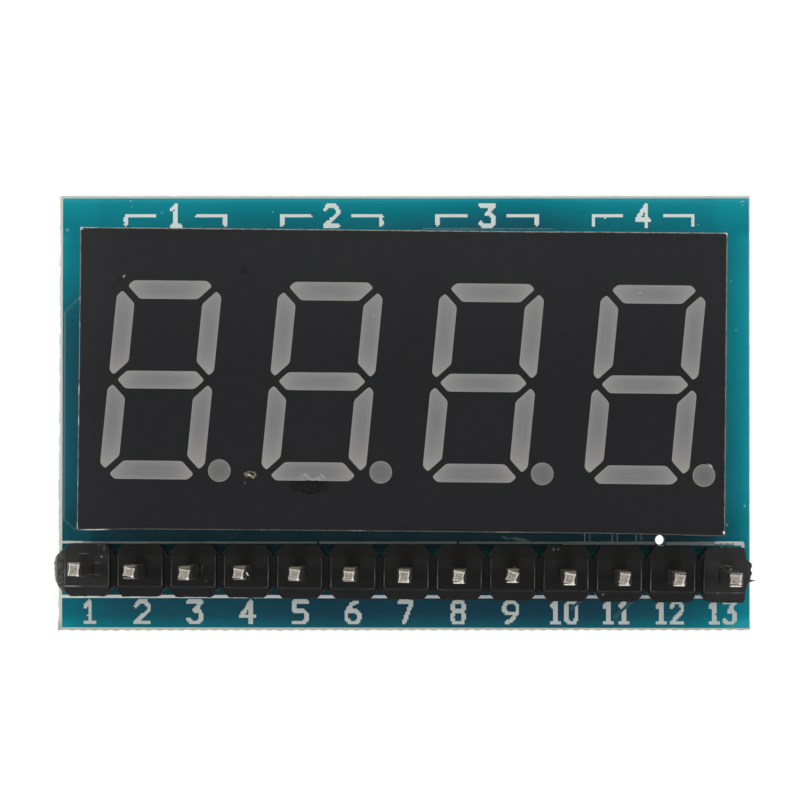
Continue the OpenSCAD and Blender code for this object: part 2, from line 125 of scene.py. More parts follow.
# Wraps a node's output so that an expression on values adds its own Math nodes
class Sock:
    def __init__(self, graph, socket):
        self.graph = graph
        self.socket = socket

    def maths(self, operation, *terms):
        return self.graph.add("ShaderNodeMath", {"operation": operation}, dict(enumerate(terms)))

    def __add__(self, other):
        return self.maths("ADD", self, other)

    def __sub__(self, other):
        return self.maths("SUBTRACT", self, other)

    def __rsub__(self, other):
        return self.maths("SUBTRACT", other, self)

    def __mul__(self, other):
        return self.maths("MULTIPLY", self, other)

    def __truediv__(self, other):
        return self.maths("DIVIDE", self, other)

    def __pow__(self, other):
        return self.maths("POWER", self, other)

    __radd__ = __add__
    __rmul__ = __mul__

    def most(self, other):
        return self.maths("MAXIMUM", self, other)

    def least(self, other):
        return self.maths("MINIMUM", self, other)

    def size(self):
        return self.maths("ABSOLUTE", self)


# A tree of nodes, with one way of adding any node and short words for those used most
class Graph:
    def __init__(self, tree):
        self.tree = tree

    def add(self, kind, settings, sockets, out=0):
        node = self.tree.nodes.new(kind)
        for key, value in settings.items():
            if key == "stops":
                ramp = node.color_ramp
                while len(ramp.elements) < len(value):
                    ramp.elements.new(0.5)
                for element, (position, colour) in zip(ramp.elements, value):
                    element.position = position
                    element.color = colour
            else:
                setattr(node, key, value)
        for key, value in sockets.items():
            if isinstance(value, Sock):
                self.tree.links.new(value.socket, node.inputs[key])
            else:
                node.inputs[key].default_value = value
        return node if out is None else Sock(self, node.outputs[out])

    def mix(self, factor, first, second):
        return self.add("ShaderNodeMix", {"data_type": "RGBA"}, {0: factor, 6: first, 7: second}, 2)

    def rise(self, value, low, high):
        return self.add("ShaderNodeMapRange", {"interpolation_type": "SMOOTHSTEP"},
                        {0: value, 1: low, 2: high, 3: 0.0, 4: 1.0})

    def ramp(self, value, stops):
        return self.add("ShaderNodeValToRGB", {"stops": stops}, {0: value})

    # 1 where the value is within half of a given one, fading to 0 outside
    def band(self, value, at, half):
        return 1 - self.rise((value - at).size(), half * 0.5, half * 1.5)


# One material: its nodes, its coordinates in millimetres and the patterns that the finishes share
class Paint(Graph):
    def __init__(self, name, colour, **fixed):
        self.material = bpy.data.materials.new(name)
        self.material.use_nodes = True
        Graph.__init__(self, self.material.node_tree)
        self.shader = self.tree.nodes["Principled BSDF"]
        self.shader.inputs["Base Color"].default_value = colour
        self.material.diffuse_color = colour
        for words, value in fixed.items():
            self.shader.inputs[words.replace("_", " ")].default_value = value
        place = self.add("ShaderNodeTexCoord", {}, {}, "Object")
        self.place = self.add("ShaderNodeVectorMath", {"operation": "SCALE"}, {0: place, "Scale": 1 / mm})
        split = self.add("ShaderNodeSeparateXYZ", {}, {0: self.place}, None)
        self.x, self.y, self.z = (Sock(self, split.outputs[i]) for i in range(3))

    def grains(self, scale, detail=2.0, rough=0.5, stretch=(1, 1, 1), shift=0.0):
        at = self.add("ShaderNodeVectorMath", {"operation": "MULTIPLY_ADD"},
                      {0: self.place, 1: stretch, 2: (shift, shift, shift)})
        return self.add("ShaderNodeTexNoise", {},
                        {"Vector": at, "Scale": scale, "Detail": detail, "Roughness": rough})

    # Coordinates along and across a turned plan with its middle at a given point
    def turned(self, x, y, turn):
        return swung(self.x - x, self.y - y, -turn)

    # Straight lines from one (position, value) pair to the next, read at a changing value
    def table(self, value, pairs):
        low, high = pairs[0][0], pairs[-1][0]
        stops = [((at - low) / (high - low), (level, level, level, 1)) for at, level in pairs]
        return self.ramp((value - low) / (high - low), stops)

    # Oval marks, each as strong as its last number says in its middle and fading to 0 outside
    def spots(self, marks):
        whole = None
        for x, y, length, width, degrees, strength in marks:
            u, v = self.turned(x, y, math.radians(degrees))
            u, v = u * (2 / length), v * (2 / width)
            one = (1 - self.rise((u * u + v * v) ** 0.5, 0.5, 1.5)) * strength
            whole = whole.most(one) if whole else one
        return whole

    def value(self, attribute):
        return self.add("ShaderNodeAttribute", {"attribute_name": attribute}, {}, "Fac")

    # Links the colour, the roughness and a bump made from a height, a depth in metres and a strength
    def finish(self, colour, rough, height, depth, strength, **more):
        bump = self.add("ShaderNodeBump", {}, {"Height": height, "Distance": depth, "Strength": strength})
        for words, sock in dict(more, Base_Color=colour, Roughness=rough, Normal=bump).items():
            self.tree.links.new(sock.socket, self.shader.inputs[words.replace("_", " ")])
        return self.material


# Coating: a deep blue-green lacquer over copper, with painted light making it palest along the rim and
# painted shade making it darkest by the header and near the display
coating = {
    "shades": [(0.0, srgb(24, 64, 82)), (0.25, srgb(24, 86, 101)), (0.5, srgb(17, 108, 124)),
               (0.75, srgb(8, 130, 144)), (0.9, srgb(15, 146, 160)), (1.0, srgb(36, 160, 174))],
    "rear": srgb(18, 118, 130),
    "seam": srgb(132, 168, 172),             # painted highlight along a track's edges, where the track lifts the coating
    "chip": srgb(196, 214, 212),
    "rough": 0.20,
    # Where one tone gives way to the next across the board, and the band of painted light in the header's
    # notches
    "trenchEdge": (-5.6, -5.2), "lowEdge": (-8.3, -7.3), "topEdge": (8.2, 9.2), "notchFillLight": (-7.0, 0.4),
    # Places along the board or across it, each with the tone there
    "topInner": [(-15.0, 0.76), (-13.0, 0.75), (-6.5, 0.60), (-1.8, 0.64), (3.8, 0.42), (6.2, 0.36),
                 (8.6, 0.6), (13.0, 0.65), (15.5, 0.78)],
    "topOuter": [(-15.0, 0.93), (1.0, 0.9), (5.8, 0.78), (9.0, 0.9), (15.0, 0.94)],
    "left": [(-7.5, 0.34), (-5.0, 0.24), (3.8, 0.22), (4.9, 0.33), (5.6, 0.48), (7.0, 0.7),
             (8.5, 0.76)],
    "right": [(-7.0, 0.55), (-5.0, 0.6), (-2.4, 0.53), (2.0, 0.66), (7.0, 0.71)],
    "trench": [(-16.5, 0.5), (-15.6, 0.38), (-14.7, 0.27), (-11.0, 0.17), (9.0, 0.17), (14.6, 0.2),
               (15.5, 0.55), (16.3, 0.8)],
    "bottom": [(-16.4, 0.58), (-14.0, 0.31), (-11.4, 0.2), (-8.9, 0.19), (-6.4, 0.13), (-3.8, 0.05),
               (8.9, 0.05), (11.35, 0.22), (13.8, 0.35), (16.4, 0.82)],
    "chips": [                # x, y, length, width, turn and strength of each, as in the lists further on
        (-16.29, 8.86, 0.16, 0.13, 0, 0.25), (-13.22, 10.26, 0.07, 0.06, 0, 0.7),
        (-13.18, 9.99, 0.05, 0.05, 0, 0.7), (-11.72, 9.70, 0.1, 0.08, 0, 0.25),
        (-6.34, 9.73, 0.07, 0.07, 0, 0.4), (16.33, 10.22, 0.22, 0.04, 25, 0.6),
        (16.36, 10.06, 0.14, 0.04, 25, 0.35), (15.78, 6.39, 0.07, 0.06, 0, 0.3),
        (16.02, 4.02, 0.12, 0.05, 30, 0.35), (13.9, 9.35, 0.07, 0.07, 0, 0.35),
        (14.2, 9.1, 0.08, 0.05, 0, 0.45), (16.44, -4.47, 0.12, 0.08, 70, 0.45),
        (15.58, -5.39, 0.1, 0.1, 0, 0.4), (4.9, -6.02, 0.4, 0.12, -20, 0.3),
        (5.6, -6.1, 0.9, 0.16, -10, 0.4),
    ],
}


# How light the front coating is, from 0 in the dark trench by the header to 1 along the rim: partly the
# copper under it, partly painted shade near the display and header and painted light along the rim
def frontToneAndShading(paint):
    u, v = paint.x - boardMid.x / mm, paint.y - boardMid.y / mm
    fromTop, fromLow = halfWide - v, v + halfWide
    fromLeft, fromRight = u + halfLong, halfLong - u
    # Each side's tone carries painted light along the board's rim and painted shade towards the display and
    # the header
    inner, outer = paint.table(u, coating["topInner"]), paint.table(u, coating["topOuter"])
    top = inner + (outer - inner) * ((1.25 - fromTop) / 1.05) + 0.08 * (1 - paint.rise(fromTop, 0.0, 0.3))
    low = paint.table(u, coating["bottom"]) + 0.31 * (1 - paint.rise(fromLow, 0.0, 0.75))
    left = paint.table(v, coating["left"]) + 0.14 * (1 - paint.rise(fromLeft, 0.05, 0.6))
    right = paint.table(v, coating["right"])
    right = right + (0.96 - right) * ((0.95 - fromRight) / 0.95).most(0.0)
    trench = paint.table(u, coating["trench"])
    isRight = paint.rise(u, -1.0, 1.0)
    side = left + (right - left) * isRight
    fromEnd = fromLeft.least(fromRight)
    inTrench = (1 - paint.rise(v, *coating["trenchEdge"])) * paint.rise(fromEnd, 0.3, 1.1)
    side = side + (trench - side) * inTrench
    # painted light: the coating lifted paler in the header's notches
    side = side + 0.9 * paint.band(v, *coating["notchFillLight"]) * paint.rise(fromEnd, 1.0, 2.0)
    below, above = 1 - paint.rise(v, *coating["lowEdge"]), paint.rise(v, *coating["topEdge"])
    tone = side + (low - side) * below
    return tone + (top - tone) * above


def coatingPaint(name, rear=False):
    paint = Paint(name, coating["rear"], IOR=1.5)
    weave = paint.grains(5.0, 2.0, 0.6, (0.35, 1, 1))
    cloud = paint.grains(0.35, 3.0)
    seam = paint.value("seam")
    if rear:
        colour = paint.mix(cloud * 0.4, coating["rear"], coating["shades"][2][1])
    else:
        tone = frontToneAndShading(paint) + (weave - 0.5) * 0.06 + (cloud - 0.5) * 0.06
        colour = paint.ramp(tone, coating["shades"])
        colour = paint.mix(paint.spots(coating["chips"]), colour, coating["chip"])
    # painted highlight along the tracks' sloping edges
    colour = paint.mix(seam * 0.24, colour, coating["seam"])
    rough = coating["rough"] + 0.08 * paint.grains(1.4, 3.0)
    return paint.finish(colour, rough, weave, 0.000004, 0.5)


# Laminate: glass cloth in pale resin, with painted shade making it greyer along the front edge and darker on
# the scored faces than on the snapped web
def laminatePaint():
    paint = Paint("laminate", srgb(222, 227, 215))
    web = paint.value("web")
    ply = paint.grains(3.0, 4.0, 0.6, (0.4, 0.4, 9))
    fibre = paint.grains(9.0, 3.0, 0.7)
    pale = paint.mix(ply * 0.5 + fibre * 0.5, srgb(214, 220, 206), srgb(244, 246, 241))
    # painted shade on the score's wall
    cut = paint.mix(fibre, srgb(190, 200, 184), srgb(218, 224, 212))
    colour = paint.mix(web, cut, pale)
    # painted shade along the front edge
    colour = paint.mix(paint.rise(paint.y, -9.9, -10.3) * 0.8, colour, srgb(168, 172, 158))
    return paint.finish(colour, 0.55 + 0.3 * fibre, fibre + ply, 0.00001, 0.8)


# Ink: pale and a little broken, darker as painted shade where its shading is above nothing, whiter as
# painted light where it is below nothing
def inkPaint():
    paint = Paint("markInk", srgb(206, 214, 216))
    faint = paint.value("faint")
    dapple = paint.grains(9.0, 3.0, 0.6)
    thin = paint.rise(paint.grains(3.0, 4.0, 0.7, shift=7.0), 0.56, 0.72)
    full = paint.mix(paint.rise(paint.y, -10.0, 10.0), srgb(206, 211, 206), srgb(238, 250, 248))
    colour = paint.mix(dapple * 0.2 + thin * 0.2, full, srgb(140, 178, 184))
    # painted shade where the shading value is above nothing
    colour = paint.mix(faint, colour, paint.mix(dapple, srgb(124, 138, 134), srgb(206, 212, 206)))
    # painted light where the shading value is below nothing
    colour = paint.mix(-1 * faint, colour, paint.mix(dapple, srgb(222, 230, 230), srgb(250, 252, 248)))
    return paint.finish(colour, 0.5 + 0.2 * dapple, dapple, 0.000006, 0.6)


# Film: a matt black sheet with a fine cross weave, with painted light making it a little paler towards its
# top, left and right rims
film = {
    "dark": srgb(19, 20, 22), "light": srgb(42, 43, 44), "rough": 0.5,
    "worn": srgb(126, 126, 120), "lipHighlightTop": srgb(152, 151, 144), "lipShadeLow": srgb(80, 80, 76),
    "nick": srgb(232, 236, 230), "scuffAndShade": srgb(8, 8, 9), "dust": srgb(214, 200, 178),
    "haze": srgb(110, 108, 104),
    "dustMarks": [            # a fleck of lint with bright lumps round a dark middle, and smaller specks
        (-7.31, -2.99, 0.14, 0.13, 0, 0.3), (-7.17, -2.90, 0.24, 0.08, 15, 0.2),
        (-6.93, -2.92, 0.2, 0.08, -12, 0.24), (-6.86, -3.04, 0.11, 0.14, 0, 0.28),
        (-6.98, -3.13, 0.18, 0.1, -25, 0.5), (-7.14, -3.04, 0.2, 0.1, -15, 0.78),
        (-7.27, -3.10, 0.14, 0.08, -30, 0.2), (14.38, -2.62, 0.2, 0.09, -50, 0.9),
        (14.26, -2.54, 0.12, 0.08, -40, 0.3), (14.5, -2.8, 0.2, 0.05, -55, 0.2),
        (-13.01, 6.23, 0.09, 0.08, 0, 0.7), (-12.95, 6.3, 0.06, 0.05, 0, 0.35),
    ],
    "hazeMarks": [            # fainter smears and hairlines
        (-7.34, -3.41, 0.12, 0.16, 0, 0.3), (15.2, -3.4, 0.7, 0.04, 70, 0.1),
        (15.0, -2.1, 0.5, 0.04, 55, 0.1), (14.9, -4.6, 0.6, 0.04, 20, 0.08),
        (-4.55, -3.52, 0.08, 0.1, 20, 0.12), (-4.28, -3.5, 0.07, 0.12, -20, 0.12),
        (-4.4, -3.66, 0.16, 0.05, 10, 0.08), (-4.05, -3.56, 0.1, 0.06, 40, 0.1),
        (-4.75, -3.62, 0.12, 0.05, -30, 0.08),
    ],
    "scuffMarks": [           # a dent under one digit drawn as painted shade, darkest along its curved rim, and a few dull rubs
        (-4.33, -3.45, 1.7, 0.78, -3, 0.5), (-5.04, -3.66, 0.44, 0.12, -24, 0.5),
        (-4.62, -3.8, 0.36, 0.12, -20, 0.55), (-4.3, -3.88, 0.44, 0.12, 0, 0.6),
        (-3.95, -3.82, 0.4, 0.12, 16, 0.5), (-3.6, -3.7, 0.46, 0.1, 22, 0.45),
        (-4.45, -3.38, 0.12, 0.12, 0, 0.9), (-4.2, -3.35, 0.1, 0.1, 0, 0.9),
        (-3.95, -3.38, 0.12, 0.1, 0, 0.9), (1.2, 0.23, 0.28, 0.08, 70, 0.8),
        (-7.35, 6.53, 0.5, 0.4, 0, 0.25), (-13.15, 6.2, 0.4, 0.06, 30, 0.5),
        (-12.8, 6.36, 0.3, 0.05, 20, 0.4), (-13.3, 5.95, 0.5, 0.07, 60, 0.35),
    ],
    "nicks": [                # bright chips along the pale lip
        (-15.1, 5.13, 0.3, 0.16, 90, 0.35), (-15.12, 4.0, 0.3, 0.2, 90, 0.3),
        (-15.14, 0.9, 0.5, 0.16, 90, 0.95), (-15.13, -0.5, 0.36, 0.16, 90, 0.5),
        (-15.15, -3.4, 0.3, 0.16, 90, 0.25), (-15.2, -5.4, 0.36, 0.2, 90, 0.7),
        (-14.33, -5.6, 1.1, 0.2, 0, 0.8), (-14.97, 8.47, 0.16, 0.16, 0, 0.8),
        (-14.6, 8.52, 0.5, 0.14, 0, 0.35), (13.88, 8.44, 0.26, 0.14, 0, 0.8),
        (14.9, 8.4, 0.5, 0.16, -4, 0.6), (15.13, 8.26, 0.22, 0.2, 0, 1.0),
        (15.01, -5.73, 0.14, 0.14, 0, 1.0), (-6.55, -5.68, 0.06, 0.2, 0, 0.9),
        (10.1, 8.4, 0.3, 0.14, 0, 0.3), (-2.1, -5.62, 0.7, 0.14, 0, 0.2), (5.0, -5.7, 1.2, 0.14, 0, 0.15),
    ],
    "chips": [                # bright crumbs at the corners, on the sheet as well as its lip
        (15.0, -5.71, 0.13, 0.13, 0, 1.0), (13.9, 8.43, 0.24, 0.06, 0, 0.7),
        (15.05, 8.29, 0.16, 0.1, -30, 0.6), (-14.95, 8.45, 0.1, 0.08, 40, 0.4),
    ],
}


def filmPaint():
    paint = Paint("filmBlack", film["dark"], Specular_IOR_Level=0.3)
    x, y = paint.x, paint.y
    weave = paint.grains(7.0, 2.0, 0.5, (0.4, 1, 1))
    cross = paint.grains(7.0, 2.0, 0.5, (1, 0.4, 1), 3.0)
    cloud = paint.grains(0.16, 3.0, 0.5)
    # painted light: paler towards the top and both ends
    tone = (paint.rise(y, 0.5, 8.0) * 0.33 + paint.rise(x, -11.5, -15.8) * 0.34
            + paint.rise(x, 12.0, 15.6) * 0.14 + (weave + cross - 1) * 0.2 + (cloud - 0.5) * 0.1)
    colour = paint.mix(tone, film["dark"], film["light"])
    scuffAndShade = paint.spots(film["scuffMarks"])
    # painted shade of the dent, together with the dull rubs
    colour = paint.mix(scuffAndShade, colour, film["scuffAndShade"])
    colour = paint.mix(paint.spots(film["hazeMarks"]), colour, film["haze"])
    colour = paint.mix(paint.spots(film["dustMarks"]), colour, film["dust"])
    # the lip: wear, with painted shade towards the bottom and painted highlight towards the top
    worn = paint.mix(paint.rise(y, -5.6, -5.0), film["lipShadeLow"], film["worn"])
    worn = paint.mix(paint.rise(y, 7.9, 8.3), worn, film["lipHighlightTop"])
    worn = paint.mix(paint.spots(film["nicks"]), worn, film["nick"])
    colour = paint.mix(paint.value("worn") * (0.55 + 0.6 * paint.rise(cross, 0.35, 0.6)), colour, worn)
    colour = paint.mix(paint.spots(film["chips"]), colour, film["nick"])
    rough = film["rough"] + 0.16 * (weave - 0.5) + 0.1 * cloud - 0.3 * scuffAndShade
    return paint.finish(colour, rough, weave + cross, 0.000004, 0.5)


# Housing: warm white walls with a darker lip round the film, painted lighter towards the top and left as a
# highlight
housing = {
    "wall": srgb(222, 218, 207), "lipLow": srgb(84, 82, 76), "lipHigh": srgb(150, 147, 138),
    "nick": srgb(240, 242, 238),
    "nicks": [
        (-15.4, 3.9, 0.5, 0.5, 0, 0.9), (-15.45, 2.6, 0.3, 0.3, 0, 0.6), (-15.55, 0.1, 0.7, 0.3, 90, 1.0),
        (-15.0, -5.55, 1.0, 0.3, -1, 1.0), (-11.4, -5.6, 0.4, 0.2, 0, 0.5), (-6.9, -5.7, 0.3, 0.2, 0, 0.3),
        (8.0, -5.86, 0.3, 0.2, 0, 0.5), (10.0, -5.9, 0.3, 0.2, 0, 0.5), (15.55, -3.2, 0.8, 0.3, 90, 0.4),
    ],
}


def housingPaint():
    paint = Paint("housingWhite", housing["wall"])
    grain = paint.grains(6.0, 4.0, 0.6)
    wall = paint.mix(grain, srgb(212, 207, 196), srgb(232, 229, 220))
    # painted highlight on the lip, lighter towards the top and left
    lit = (paint.rise(paint.y, -7.0, 7.0) * 0.75 + paint.rise(paint.x, 4.0, -16.0) * 0.35
           + 0.3 * (grain - 0.5))
    lip = paint.mix(lit, housing["lipLow"], housing["lipHigh"])
    lip = paint.mix(paint.spots(housing["nicks"]), lip, housing["nick"])
    colour = paint.mix(paint.rise(paint.z, faceTop / mm - 0.12, faceTop / mm - 0.04), wall, lip)
    return paint.finish(colour, 0.42 + 0.16 * grain, grain, 0.000006, 0.5)


# Resin: milky grey, lighter where it is thin along its rim and towards the bars' ends
resin = {
    "rim": srgb(152, 151, 141), "edge": grey(139), "core": srgb(122, 122, 123), "tip": srgb(174, 171, 162),
    "dotEdge": grey(123), "dot": grey(107), "smear": srgb(176, 178, 178), "bite": srgb(40, 38, 36),
    "smears": [               # pale scrapes along the foot of one bar, by the film's dent, and two specks
        (-4.7, -3.09, 0.4, 0.12, 28, 0.4), (-4.5, -3.05, 0.26, 0.12, -15, 0.75),
        (-4.36, -3.17, 0.3, 0.12, -35, 0.65), (-4.2, -3.25, 0.4, 0.1, -8, 0.7),
        (-3.95, -3.2, 0.2, 0.14, 10, 0.8), (-3.86, -3.28, 0.16, 0.08, 20, 0.9),
        (-3.7, -3.12, 0.34, 0.12, -38, 0.6), (-4.25, -3.3, 0.12, 0.06, 0, 0.8),
        (-4.75, -3.24, 0.5, 0.1, 5, 0.3), (-1.32, 4.38, 0.09, 0.08, 0, 0.8),
        (11.08, 5.46, 0.1, 0.08, 0, 0.7),
    ],
    "bites": [(-4.4, -3.31, 0.3, 0.07, 8, 0.8), (-3.98, -3.31, 0.2, 0.07, -8, 0.7)],
}


def resinPaint():
    paint = Paint("milkyResin", resin["core"])
    deep = paint.value("depth")
    dot = paint.value("dot")
    haze = paint.grains(2.2, 3.0, 0.5)
    # painted light: the resin lighter towards the top
    lift = paint.rise(paint.y, -5.0, 5.0) * 0.5 - 0.22
    colour = paint.mix(deep + (haze - 0.5) * 0.12 - lift, resin["edge"], resin["core"])
    colour = paint.mix(paint.value("tip") * 0.38, colour, resin["tip"])
    colour = paint.mix(dot, colour, paint.mix(deep, resin["dotEdge"], resin["dot"]))
    colour = paint.mix(1 - paint.rise(deep, 0.0, 0.17), colour, resin["rim"])
    smears = paint.spots(resin["smears"]) * (0.6 + 0.4 * paint.rise(haze, 0.35, 0.6))
    colour = paint.mix(smears, colour, resin["smear"])
    colour = paint.mix(paint.spots(resin["bites"]), colour, resin["bite"])
    return paint.finish(colour, 0.34 + 0.1 * haze, haze, 0.000004, 0.4)


def mouldedPaint(name, low, high, grain, rough):
    paint = Paint(name, high, Specular_IOR_Level=0.45)
    flow = paint.grains(grain, 4.0, 0.6)
    fine = paint.grains(grain * 4, 2.0, 0.5, shift=4.0)
    colour = paint.mix(flow, low, high)
    return paint.finish(colour, rough + 0.14 * flow, flow * 0.7 + fine * 0.3, 0.00001, 0.6)


# Insulator: near-black moulding, with painted highlight lines along the groove edges and the front hem,
# painted light in the grooves and notches, painted shade towards the front, and specks of flash
insulator = {
    "low": grey(34), "high": grey(41), "end": grey(53), "groove": grey(54), "paintedHighlight": grey(150),
    "front": grey(22), "notch": grey(92),
    "stressLow": srgb(52, 55, 48), "stressHigh": srgb(150, 154, 142), "speck": grey(150),
    # The flat crown's edge across the row, and the middle and half width of the painted highlight lines: at
    # the joints between the blocks, measured from the nearest pin, and along the front hem, measured across
    # the row
    "crown": (0.68, 0.76), "joint": (1.055, 0.03), "jointGlow": 0.65, "hem": (-0.76, 0.022),
    "specks": [               # places along and across the row from the first pin, then as elsewhere
        (0.57, 1.2, 0.2, 0.1, 30, 0.2), (0.81, 1.06, 0.1, 0.3, 0, 0.2), (0.70, 0.63, 0.09, 0.08, 0, 0.8),
        (-0.77, -0.79, 0.9, 0.05, 0, 0.8), (-0.14, 0.77, 0.5, 0.05, 0, 0.3),
        (5.7, -0.48, 0.1, 0.1, 0, 0.2), (22.26, 1.2, 0.1, 0.16, 0, 0.4), (22.48, 1.2, 0.09, 0.1, 0, 0.4),
        (20.42, 0.33, 0.1, 0.1, 0, 0.6), (24.63, -0.92, 0.09, 0.07, 0, 0.7),
        (30.1, -0.79, 0.1, 0.08, 0, 0.3), (30.7, 0.34, 0.12, 0.07, 0, 0.9),
        (31.0, -0.78, 0.5, 0.04, 0, 0.3), (30.55, 0.5, 0.4, 0.05, -12, 0.35),
        (30.35, 0.38, 0.5, 0.04, -40, 0.25), (5.5, 0.12, 0.3, 0.04, 80, 0.25),
        (0.47, 0.33, 0.4, 0.04, 0, 0.3), (0.47, -0.23, 0.4, 0.04, -3, 0.3),
    ],
}


def insulatorPaint():
    paint = Paint("insulatorBlack", insulator["high"], Specular_IOR_Level=0.1)
    top = insulatorTop / mm
    flow = paint.grains(5.0, 4.0, 0.6)
    fine = paint.grains(20.0, 2.0, 0.5, shift=4.0)
    along, across = paint.turned(rowStart.x / mm, rowStart.y / mm, rowTurn)
    fromPin = along.maths("PINGPONG", along, pitch / 2)      # distance from the nearest pin, along the row
    crown = 1 - paint.rise(across.size(), *insulator["crown"])
    low = paint.rise(across, 0.5, -0.4)
    patchy = paint.rise(paint.grains(1.3, 3.0, 0.6, shift=2.0), 0.35, 0.7) * 0.7 + 0.3
    # painted highlight lines along the groove edges and the front hem
    lit = paint.band(fromPin, *insulator["joint"]) * crown * (0.3 + 0.7 * low) * patchy
    lit = lit * insulator["jointGlow"]
    hem = paint.band(across, *insulator["hem"]) * (1 - paint.rise(fromPin, 1.0, 1.06)) * patchy
    hem = hem * (0.04 + 0.1 * paint.rise(fromPin, 0.5, 0.95))
    colour = paint.mix(flow, insulator["low"], insulator["high"])
    # painted light in the deep grooves
    deep = 1 - paint.rise(paint.z, top - 0.5, top - 0.12)
    colour = paint.mix(deep, colour, insulator["groove"])
    # painted shade towards the front and on the front chamfer
    front = paint.rise(across, -0.78, -0.88)
    colour = paint.mix(paint.rise(across, 0.3, -0.6) * 0.3 + front * 0.6, colour, insulator["front"])
    # painted light on the notch walls
    notch = paint.rise(across.size(), 0.78, 0.95) * paint.rise(fromPin, 1.04, 1.1)
    colour = paint.mix(notch * 0.7, colour, insulator["notch"])
    ends = (1 - paint.rise(along, 0.96, 1.1)).most(paint.rise(along, lastPin - 1.05, lastPin - 0.9))
    colour = paint.mix(ends * (0.65 - 0.35 * front), colour, insulator["end"])
    paintedHighlight = lit.most(hem) * paint.rise(paint.z, top - 0.12, top - 0.05)
    colour = paint.mix(paintedHighlight, colour, insulator["paintedHighlight"])
    specks = []
    for u, v, *rest in insulator["specks"]:
        at = offRow(u, v, 0) / mm
        specks.append((at.x, at.y, *rest))
    colour = paint.mix(paint.spots(specks), colour, insulator["speck"])
    stress = paint.value("stress")
    skinSide = paint.rise(along, -1.42, -1.6)
    torn = paint.mix(paint.rise(fine + flow, 0.8, 1.25) * 0.45 + skinSide * 0.6, insulator["stressLow"],
                     insulator["stressHigh"])
    colour = paint.mix(stress, colour, torn)
    rough = 0.5 + 0.14 * flow + 0.1 * stress
    return paint.finish(colour, rough, flow * 0.7 + fine * 0.3, 0.00001, 0.6)


def metalPaint(name, low, high, rough, grain=6.0):
    paint = Paint(name, high, Metallic=1.0)
    flow = paint.grains(grain, 4.0, 0.6)
    colour = paint.mix(flow, low, high)
    return paint.finish(colour, rough + 0.2 * flow, flow, 0.000008, 0.7)


# Pins: bright drawn tin, with a cut end that shows the duller core, a lip with painted highlights, and
# painted shade below it
pin = {
    "tinLow": srgb(168, 164, 156), "tinHigh": srgb(226, 222, 214),
    "coreLow": srgb(104, 94, 86), "coreHigh": srgb(190, 180, 168),
    # the lip colour is a painted highlight; the dark colour after it and the olive are painted shade
    "lip": srgb(255, 253, 244), "burn": srgb(23, 20, 16), "olive": srgb(104, 96, 72),
    "smear": srgb(120, 150, 148),
    "layers": ("cut", "lip", "burn", "olive", "smear"),
}


def pinPaint():
    paint = Paint("tinnedPin", pin["tinHigh"])
    cut, lip, burn, olive, smear = (paint.value(word) for word in pin["layers"])
    flow = paint.grains(12.0, 4.0, 0.7)
    drawn = paint.grains(20.0, 2.0, 0.5, (1, 1, 0.05))
    tin = paint.mix(drawn, pin["tinLow"], pin["tinHigh"])
    core = paint.mix(paint.rise(flow, 0.25, 0.75), pin["coreLow"], pin["coreHigh"])
    # painted shade on the neck below the tip
    colour = paint.mix(burn, tin, pin["burn"])
    # olive-brown painted shade on the back side
    colour = paint.mix(olive * paint.rise(flow, 0.2, 0.5), colour, pin["olive"])
    colour = paint.mix(cut, colour, core)
    # painted highlight on the lip and rim
    colour = paint.mix(lip, colour, paint.mix(smear, pin["lip"], pin["smear"]))
    worked = cut.most(lip).most(burn)
    rough = 0.16 + 0.06 * drawn + 0.36 * worked
    return paint.finish(colour, rough, flow * cut, 0.00002, 0.7, Metallic=1 - 0.85 * worked)


# Finishes by the slot that they fill, and two that share the coating's slot
paints = {
    "coating": coatingPaint("coatingFront"),
    "coatingRear": coatingPaint("coatingRear", True),
    "laminate": laminatePaint(),
    "ink": inkPaint(),
    "film": filmPaint(),
    "housing": housingPaint(),
    "light_resin": resinPaint(),
    "insulator": insulatorPaint(),
    "moulding": mouldedPaint("mouldedEpoxy", srgb(26, 26, 28), srgb(44, 44, 46), 8.0, 0.5),
    "pin": pinPaint(),
    "solder": metalPaint("brightSolder", srgb(176, 178, 180), srgb(222, 224, 226), 0.16, 2.5),
    "pad": metalPaint("tinnedCopper", srgb(186, 176, 150), srgb(216, 210, 192), 0.3),
    "lead": metalPaint("tinnedLead", srgb(180, 182, 184), srgb(220, 221, 222), 0.24),
    "cap": metalPaint("chipCap", srgb(184, 186, 188), srgb(220, 222, 222), 0.32, 9.0),
    "ceramic": mouldedPaint("firedCeramic", srgb(222, 220, 214), srgb(238, 236, 231), 9.0, 0.5),
    "chip_board": mouldedPaint("bareBoard", srgb(186, 170, 112), srgb(204, 188, 130), 4.0, 0.5),
    "seal": mouldedPaint("castSeal", srgb(206, 200, 184), srgb(224, 220, 206), 1.5, 0.3),
    "die": metalPaint("dieCrystal", srgb(200, 170, 90), srgb(230, 206, 130), 0.2),
}
for part in frame["record"]["subparts"]:
    kept = nodes[part["node"]]
    kept.data.materials.clear()
    kept.data.materials.append(paints[part["material_slot"]])
nodes["rear_coating"].data.materials[0] = paints["coatingRear"]
print("finishes made,", len(paints))


# Makes a piece of the part from a bmesh and hides the CAD parts that it stands for; only the ink isn't its
# slot's finish
def piece(name, bm, slot, stands=(), paint=None):
    bmesh.ops.remove_doubles(bm, verts=bm.verts, dist=0.002 * mm)
    bmesh.ops.recalc_face_normals(bm, faces=bm.faces)
    mesh = bpy.data.meshes.new(name)
    bm.to_mesh(mesh)
    bm.free()
    made = bpy.data.objects.new(name, mesh)
    scene.collection.objects.link(made)
    mesh.materials.append(paints[paint or slot])
    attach(made, "root")
    if stands:
        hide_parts(*stands)
    return made


